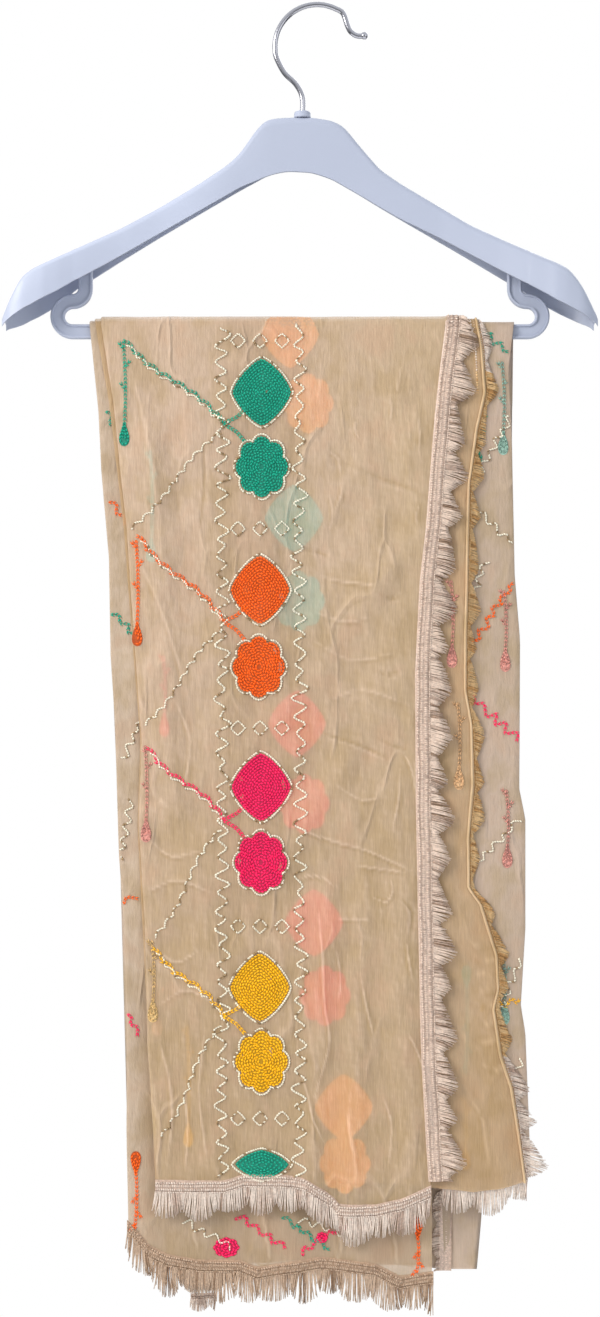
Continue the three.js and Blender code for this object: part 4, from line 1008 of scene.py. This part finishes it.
def trim(name, layer, route, away, length, pitch, side=1, lift=-0.6, longest=15.0, shortest=3.5, droop=0.0,
         band=7.4, crowd=0.5, tones=WARM, fuller=0.0):
    """A lace band beside an edge and the fringe beyond it. route gives (x, path) along the edge,
    away is the way from the cloth to the fringe's tips, pitch the width of a scallop of the fringe
    and crowd the spacing of its threads."""
    # the band's plain ground
    ex, ep = route(np.linspace(0, 1, int(length / 4) + 1))
    profile = [(-1.2, 0.1), (-1.0, 0.9), (0.1, 1.2), (band * 0.5, 1.3), (band, 1.0), (band, 0.1)]
    strips = [lay(layer, ex + away[0] * a, side * (ep + away[1] * a), o + lift) for a, o in profile]
    points = np.stack(strips, 1)
    body = Beads()
    body.add(points.reshape(-1, 3), halved(grid_faces(*points.shape[:2])))
    ground_piece = body.make(name + "_band", tones[2 if tones is SILVER else 1])
    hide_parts("trim_" + name)

    # rows of stitches on it
    heading = math.atan2(ep[-1] - ep[0], ex[-1] - ex[0])
    rows = Beads()
    for share, step, long, wide, slant in LACE_ROWS:
        if share * band < 1.2 and band < 4:
            continue
        count = int(length / step)
        t = (np.arange(count) + 0.5) / count
        bx, bp = route(t)
        lean = heading + slant * (1 if abs(slant) > 0.6 else np.where(np.arange(count) % 2, 1, -1))
        off = share * band + 0.25 * np.sin(t * length / 9.0)
        fat = wide * rng.uniform(0.85, 1.15, count)
        darker = np.where(rng.uniform(size=count) < 0.2, 1, 0)
        grains(rows, layer, bx + away[0] * off, side * (bp + away[1] * off), side * lean, long, fat,
               lift + (1.8 if share < 0.3 else 1.4), tilt=0.05, tints=darker + silvered(tones, t))
    row_piece = rows.make(name + "_rows", tones)

    # the fringe: each thread has three rings of three points, from the band to its tip
    count = int(length / crowd)
    t = (np.arange(count) + rng.uniform(0, 1, count)) / count
    bx, bp = route(t)
    scallop = t * length / pitch
    uneven = 0.12 * np.sin(scallop * 1.7) + 0.06 * np.sin(scallop * 4.1)
    phase = (scallop + uneven) % 1
    if away[0]:
        grow = np.where(phase < 0.62, phase / 0.62, (1 - phase) / 0.38) ** 0.85
    else:
        grow = np.sin(math.pi * phase) ** 0.7
    far = longest + fuller * smooth((t - 0.82) / 0.12)
    lobe = 1 + 0.16 * np.sin(np.floor(scallop + uneven) * 2.4)
    reach = (shortest + (far * lobe - shortest) * grow) * rng.uniform(0.95, 1.03, count)
    lean = droop + (phase - 0.5) * 0.34 + rng.normal(0, 0.04, count)
    dx = away[0] + math.cos(heading) * lean
    dp = away[1] + math.sin(heading) * lean
    size = np.hypot(dx, dp)
    dx, dp = dx / size, dp / size
    curl = rng.normal(0, 0.045, count)
    start = band - 1.0
    verts = []
    for share, fat in ((0.0, 1.0), (0.55, 0.95), (1.0, 0.6)):
        cx = bx + away[0] * start + dx * reach * share - dp * curl * reach * share ** 2
        cp = bp + away[1] * start + dp * reach * share + dx * curl * reach * share ** 2 + 0.8 * share ** 2
        co = lift + 0.85 + 0.5 * np.sin(math.pi * share) + rng.normal(0, 0.14, count) - 0.5 * share
        wide = 0.42 * fat
        ring = [(-wide, -wide * 0.5), (wide, -wide * 0.5), (0, wide)]
        verts.append(np.stack([lay(layer, cx - dp * a, side * (cp + dx * a), co + b) for a, b in ring], 1))
    # painted highlight and shade: threads take the light, middle or dark copy, in clumps
    clump = np.repeat(rng.uniform(size=count // 5 + 1), 5)[:count]
    pick = 0.6 * clump + 0.4 * rng.uniform(size=count)
    tints = np.where(pick < 0.58, 0, np.where(pick < 0.8, 1, 2)) + silvered(tones, t)
    faces = np.concatenate([halved(grid_faces(3, 3, closed=True)), [(6, 7, 8)]])
    fringe = Beads()
    fringe.add(np.concatenate(verts, 1).reshape(-1, 3), repeated(faces, 9, count),
               np.repeat(tints, len(faces)))
    return [ground_piece, row_piece, fringe.make(name + "_fringe", tones)]


def side_route(edge, start, end, inset=0.0):
    """The way down a side edge, from one path to another."""
    def route(t):
        path = mix(start, end, t)
        return column(edge, path) - inset, path
    return route


def hem_route(hem, start, end, gap=0.4):
    """The way along a hem, from one x to another."""
    def route(t):
        x = mix(start, end, t)
        return x, column(hem, x) + gap
    return route


TRIMS = {
    "front_edge": dict(layer=FRONT, route=side_route(FRONT_EDGE, 1, 568), away=SIDE, length=567, pitch=28.2,
                       shortest=4.4, droop=0.2, band=9.0),
    "front_hem": dict(layer=FRONT, route=hem_route(FRONT_HEM, -95, 86), away=DOWN, length=182, pitch=20,
                      longest=17, shortest=8, tones=SILVER),
    "second_edge": dict(layer=SECOND_END, route=side_route(SECOND_EDGE, 1.5, 566, 6), away=SIDE, length=562,
                        pitch=28.2, lift=-0.4, longest=7.6, shortest=1.6, droop=0.2, tones=AMBER + SILVER,
                        fuller=7),
    "second_hem": dict(layer=SECOND, route=hem_route(SECOND_HEM, 94, 150, -7.2), away=DOWN, length=56,
                       pitch=22, lift=-3.0, longest=16, shortest=6, tones=SILVER),
    "end_hem": dict(layer=SECOND_END, route=hem_route(END_HEM, -114, 88), away=DOWN, length=215, pitch=19,
                    longest=18.5, shortest=8, tones=EARTH),
    "rear_edge": dict(layer=REAR, route=side_route(REAR_EDGE, 1, 623), away=SIDE, length=622, pitch=28.2,
                      side=-1, shortest=4.4, droop=0.2, band=9.0, crowd=0.6),
    "inner_edge": dict(layer=INNER_TRIM, route=side_route([(567, 100), (634, 99)], 578, 631), away=(-1, 0),
                       length=53, pitch=22, side=-1, lift=0.0, longest=7.5, shortest=2, droop=0.1),
    "low_corner": dict(layer=REAR, route=hem_route(CROSS_FOLD, -73, -56, 1.5), away=DOWN, length=17,
                       pitch=14, side=-1, lift=-0.4, longest=9, shortest=4, band=2.5),
}
trims = {name: trim(name, **facts) for name, facts in TRIMS.items()}

# the second layer's edge is turned over in a soft round lip, its chiffon lighter than the layer's as a
# painted highlight along it
lip_path = np.linspace(2, 570, 240)
lip_centre = column(SECOND_EDGE, lip_path) - 1.3 + waves(np.zeros(240), lip_path, 5, [(40, 0.35, 3)])
lip_rings = np.stack([lay(SECOND, lip_centre + 0.8 * math.cos(a), lip_path, 0.45 + 0.75 * math.sin(a))
                      for a in circle(8)], 1)
second_lip = make_object("second_lip", lip_rings, grid_faces(240, 8, closed=True), highlit_lip_chiffon)

# ------------------------------------------------------------------ the hanger
HANGER = np.array([      # x, top, bottom, half depth, bow
    (-195, -204.5, -210.5, 11, 7), (-193, -199.6, -208.2, 14.5, 6.8),
    (-190, -192.7, -205.9, 17.5, 6.4), (-184.8, -182.8, -202.5, 20, 6),
    (-180.9, -177.1, -200, 21.2, 5.6), (-175, -172.6, -197, 22, 5), (-167.8, -169, -192.8, 22, 4.8),
    (-157.5, -163.8, -187.2, 20, 4), (-151.1, -160.7, -182.9, 18, 3.6),
    (-131.7, -151.1, -171.4, 13, 2.6), (-118.7, -144.9, -163.6, 10.5, 2),
    (-92.4, -130.2, -147.8, 8, 0.9), (-66.1, -114.1, -132.4, 7, 0.4),
    (-47.6, -101.5, -121.7, 6.4, 0.2), (-39.7, -94.2, -117, 6.2, 0), (-29.1, -78.8, -112.6, 6, 0),
    (-23.8, -72.9, -110.4, 6, 0), (-18.5, -71.1, -108.3, 6, 0), (-8, -70.3, -106.3, 6, 0),
    (8, -70.3, -107.2, 6, 0), (21.2, -72.4, -111.6, 6, 0), (29.1, -76.4, -116.2, 6, 0),
    (39.7, -89.6, -122.2, 6.2, 0), (52.9, -104.9, -130.3, 6.6, 0.2), (66.1, -114.1, -138, 7, 0.4),
    (92.4, -130, -151.1, 8, 0.9), (112.1, -142.2, -162.2, 10.5, 1.6),
    (131.7, -151.7, -173.4, 13.5, 2.6), (151.1, -160.8, -184.2, 18, 3.6),
    (160.8, -165.3, -189.8, 20, 4.2), (167.2, -168.3, -194, 21.5, 4.8), (173.7, -171.5, -197.4, 22, 5),
    (178.3, -175.5, -199.9, 21, 5.6), (183.5, -182.5, -202.5, 20, 6), (187.5, -189, -204.8, 18, 6.4),
    (190.2, -194.6, -206.1, 16, 6.6), (193, -200.1, -207.8, 13, 6.9), (195, -204.5, -210.5, 11, 7)], float)
# how far the rear wall's lower edge lies above the front one's
REAR_LIFT = [(-190, -1.5), (-184.8, -2.5), (-167.8, -2.5), (-157.5, -1.5), (-151, 0), (-39.7, 0), (-29, 1.2),
             (-23.8, 2), (66.1, 2), (92.4, 0)]
GREY = (184, 191, 210)
HOOK_RADIUS = 27.9       # of the hook's round, to the middle of its wire
WIRE = 1.8               # the wire's radius
NECK = 1.6               # where the hook's stem stands on x
HOOK_END = (42.6, -18.9)
BALL_RADIUS = 2.5        # of the ball on the hook's end
COLLAR_FOOT = -70.1

hanger_plastic, tree, shader = new_material("hanger_plastic")
base = blend_colours(tree, span(tree, noise(tree, 14, 2), 0.35, 0.65), srgb(*GREY), scaled(GREY, 0.965))
# painted shade: the plastic turns darker from the middle to the right arm, where less light falls
base = blend_colours(tree, span(tree, axes(tree)["X"], -0.075, -0.03), base, scaled(GREY, 0.935))
feed(tree, shader, {"Base Color": base, "Roughness": 0.42, "Specular IOR Level": 0.4,
                    "Normal": bump(tree, noise(tree, 1400, 2), 0.00008, 0.5)})
chrome_wire, tree, shader = new_material("chrome_wire")
feed(tree, shader, {"Base Color": (0.46, 0.46, 0.5, 1), "Metallic": 1.0,
                    "Roughness": span(tree, noise(tree, 60, 3), 0.3, 0.7, 0.12, 0.26)})


def capped(name, points, material, sharp):
    """A closed section along a line, with its two ends shut and edges sharp beyond an angle."""
    rows, columns = points.shape[:2]
    made = make_object(name, points, grid_faces(rows, columns, closed=True), material)
    mesh = made.data
    work = bmesh.new()
    work.from_mesh(mesh)
    work.verts.ensure_lookup_table()
    for base in (0, (rows - 1) * columns):
        work.faces.new([work.verts[base + k] for k in range(columns)])
    bmesh.ops.recalc_face_normals(work, faces=work.faces)
    work.to_mesh(mesh)
    work.free()
    mesh.polygons.foreach_set("use_smooth", [True] * len(mesh.polygons))
    mesh.set_sharp_from_angle(angle=math.radians(sharp))
    return made


def section_profile(half, top, bottom, bow, lift):
    """The open channel's section: its outer walls and, back along them, its inner walls."""
    wall = min(2.2, half / 4, (top - bottom) / 4)
    shoulder = min(5, (top - bottom) * 0.35)
    outside = [(-half, bottom), (-half, bottom + 0.3 * (top - bottom)), (-half, top - shoulder)]
    for a in np.linspace(0.15, 1, 5) * math.pi / 2:
        outside.append((-half + 0.6 * half * (1 - math.cos(a)), top - shoulder * (1 - math.sin(a))))
    right = [(-y, z) for y, z in reversed(outside)]
    right[-1] = (half, bottom + lift)
    within = [(half - wall, bottom), (half - wall, top - shoulder - wall * 0.4), (half * 0.4, top - wall)]
    within += [(-y, z) for y, z in reversed(within)]
    within[0] = (half - wall, bottom + lift)
    return np.array([(y - bow, z) for y, z in outside + right + within])


def hanger_body():
    """The moulded body: an open channel from arm to arm, its table a little softened."""
    stations = np.concatenate([np.linspace(-195, -150, 40), np.linspace(-149, 149, 150),
                               np.linspace(150, 195, 40)])
    softened = []
    for k in range(1, 5):
        values = np.interp(stations, HANGER[:, 0], HANGER[:, k])
        padded = np.concatenate([values[:1].repeat(2), values, values[-1:].repeat(2)])
        soft = np.convolve(padded, np.array([1, 2, 3, 2, 1]) / 9, "valid")
        soft[0], soft[-1] = values[0], values[-1]
        softened.append(soft)
    rings = []
    lifts = column(REAR_LIFT, stations) * smooth((195 - np.abs(stations)) / 6)
    for x, lift, top, bottom, half, bow in zip(stations, lifts, *softened):
        outline = section_profile(half, top, bottom, bow, lift)
        rings.append(place(np.full(len(outline), x), outline[:, 0], outline[:, 1]))
    return capped("hanger_shell", np.stack(rings), hanger_plastic, 38)


def sweep(name, centre, directions, profile, material, sharp, drop=HANGER_DROP):
    """A closed section along a line in the hanger's plane; directions are across the line."""
    rings = [place(x + profile[:, 0] * cx, profile[:, 1], z + profile[:, 0] * cz, drop)
             for (x, z), (cx, cz) in zip(centre, directions)]
    return capped(name, np.stack(rings), material, sharp)


def bar_piece():
    """The trouser bar, whose ends turn down, round and up into the hanger's arms."""
    height, depth, top = 9.6, 5.4, -206.8
    centre = top - height / 2
    upper, lower, bracket = 8.4, 10.0, 142.0
    turn_top = centre + 2 * lower
    elbow = turn_top + upper
    bend = bracket + upper
    half = [(bracket, z, 0.0) for z in np.linspace(-163, elbow, 6)]
    for a in np.linspace(0, math.pi / 2, 15)[1:]:
        half.append((bend - upper * math.cos(a), elbow - upper * math.sin(a), a))
    for a in np.linspace(0, math.pi, 33)[1:]:
        half.append((bend + lower * math.sin(a), turn_top - lower * (1 - math.cos(a)), math.pi / 2 - a))
    edge, face = height / 2, depth / 2
    quarter = [(edge, face - 1.2), (edge - 0.35, face - 0.45), (edge - 0.84, face), (edge - 1.5, face),
               (edge - 1.7, face - 1.2)]
    profile = quarter + [(-u, y) for u, y in reversed(quarter)]
    profile = np.array(profile + [(u, -y) for u, y in reversed(profile)])
    level = np.linspace(-140, 140, 20)
    centres = [(-x, z) for x, z, _ in half] + [(x, centre) for x in level]
    centres += [(x, z) for x, z, _ in reversed(half)]
    across = [(math.cos(a), -math.sin(a)) for _, _, a in half] + [(0.0, 1.0) for _ in level]
    across += [(-math.cos(a), -math.sin(a)) for _, _, a in reversed(half)]
    return sweep("trouser_bar", centres, across, profile, hanger_plastic, 35)


def wire_piece():
    """The hook's wire: stem, bend, the round over the rail and the end that turns outward."""
    centre = WIRE - HOOK_RADIUS
    points = [(NECK, -70.0 - HANGER_DROP), (NECK, -60), (-2.6, -51.2), (-10.2, -43.6)]
    for a in np.radians(range(196, 51, -12)):
        points.append((HOOK_OFFSET + HOOK_RADIUS * math.cos(a), centre + HOOK_RADIUS * math.sin(a)))
    points += [(31.6, -12.5), (34, -16.6), (38, -19), HOOK_END]
    line = catmull(points, 8)
    gap = np.gradient(line, axis=0)
    gap /= np.hypot(*gap.T)[:, None]
    turn = circle(16)
    profile = WIRE * np.stack([np.cos(turn), np.sin(turn)], -1)
    across = np.stack([gap[:, 1], -gap[:, 0]], -1)
    return sweep("hook_wire", line, across, profile, chrome_wire, 60, 0.0)


def lathe(name, x, profile, material, drop=HANGER_DROP):
    """A round piece about an upright line; profile gives radii and heights."""
    turn = circle(24)
    rings = [place(x + radius * np.cos(turn), radius * np.sin(turn), np.full(24, height), drop)
             for radius, height in profile]
    return make_object(name, np.stack(rings), grid_faces(len(rings), 24, closed=True), material)


shell = hanger_body()
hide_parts("hanger_body")
bar = bar_piece()
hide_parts("hanger_bar")
wire = wire_piece()
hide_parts("hanger_hook")
ball_profile = [(BALL_RADIUS * math.sin(a), HOOK_END[1] + BALL_RADIUS * math.cos(a))
                for a in np.linspace(0.02, math.pi - 0.02, 13)]
lathe("hook_ball", HOOK_END[0], ball_profile, chrome_wire, 0.0)
collar_profile = [(radius, COLLAR_FOOT + height) for radius, height in (
    (1.85, 0), (5.9, 0), (5.6, 0.6), (5.5, 3.0), (5.2, 3.8), (4.6, 4.2), (2.2, 4.2), (1.85, 4.0))]
collar = lathe("hook_collar", NECK, collar_profile, hanger_plastic)
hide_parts("hanger_collar")

# ------------------------------------------------------------------ floor, light and camera
floor_material, tree, shader = new_material("floor")
feed(tree, shader, {"Base Color": srgb(240, 240, 240), "Roughness": 0.9})
mesh = bpy.data.meshes.new("floor")
mesh.from_pydata([(-1.6, -1.6, -1.35), (1.6, -1.6, -1.35), (1.6, 1.1, -1.35), (-1.6, 1.1, -1.35)], [],
                 [(0, 1, 2, 3)])
mesh.materials.append(floor_material)
floor = bpy.data.objects.new("floor", mesh)
bpy.context.scene.collection.objects.link(floor)

# the camera sees plain white where there is nothing; the cloth is lit by a sky that is darker below
world = bpy.data.worlds.new("studio")
bpy.context.scene.world = world
world.use_nodes = True
tree = world.node_tree
tree.nodes.clear()
height = add(tree, "SeparateXYZ", {"Vector": add(tree, "TexCoord", {}).outputs["Generated"]}).outputs["Z"]
lit = add(tree, "Background", {"Color": (0.94, 0.965, 1.0, 1),
                               "Strength": span(tree, height, -0.5, 0.6, 0.16, 0.95)})
seen = add(tree, "Background", {"Color": (1, 1, 1, 1), "Strength": 1.0})
ray = add(tree, "LightPath", {}).outputs["Is Camera Ray"]
choose = add(tree, "MixShader", {0: ray, 1: lit.outputs[0], 2: seen.outputs[0]})
add(tree, "OutputWorld", {0: choose.outputs[0]})

LIGHTS = [      # name, place, what it points at, size, power, colour
    ("key", (-1.7, -1.3, 0.5), (0, 0, -0.4), 1.0, 46, (1, 0.98, 0.95)),
    ("fill", (1.7, -1.7, -0.1), (0, 0, -0.45), 1.8, 11, (0.95, 0.97, 1)),
    ("back", (0.6, 1.9, 0.6), (0, 0, -0.4), 1.8, 18, (1, 1, 1)),
]
for name, at, to, size, power, colour in LIGHTS:
    data = bpy.data.lights.new(name, "AREA")
    data.size = size
    data.energy = power
    data.color = colour
    lamp = bpy.data.objects.new(name, data)
    lamp.location = at
    lamp.rotation_euler = (Vector(to) - Vector(at)).to_track_quat("-Z", "Y").to_euler()
    bpy.context.scene.collection.objects.link(lamp)

camera_data = bpy.data.cameras.new("camera")
camera_data.sensor_width = 36
camera_data.lens = 61.9
camera = bpy.data.objects.new("camera", camera_data)
camera.location = (-HOOK_OFFSET * MM, -1.5, -0.428 - HANGER_DROP * MM)
camera.rotation_euler = (math.pi / 2, 0, 0)
bpy.context.scene.collection.objects.link(camera)
bpy.context.scene.camera = camera
bpy.context.scene.view_settings.view_transform = "Standard"
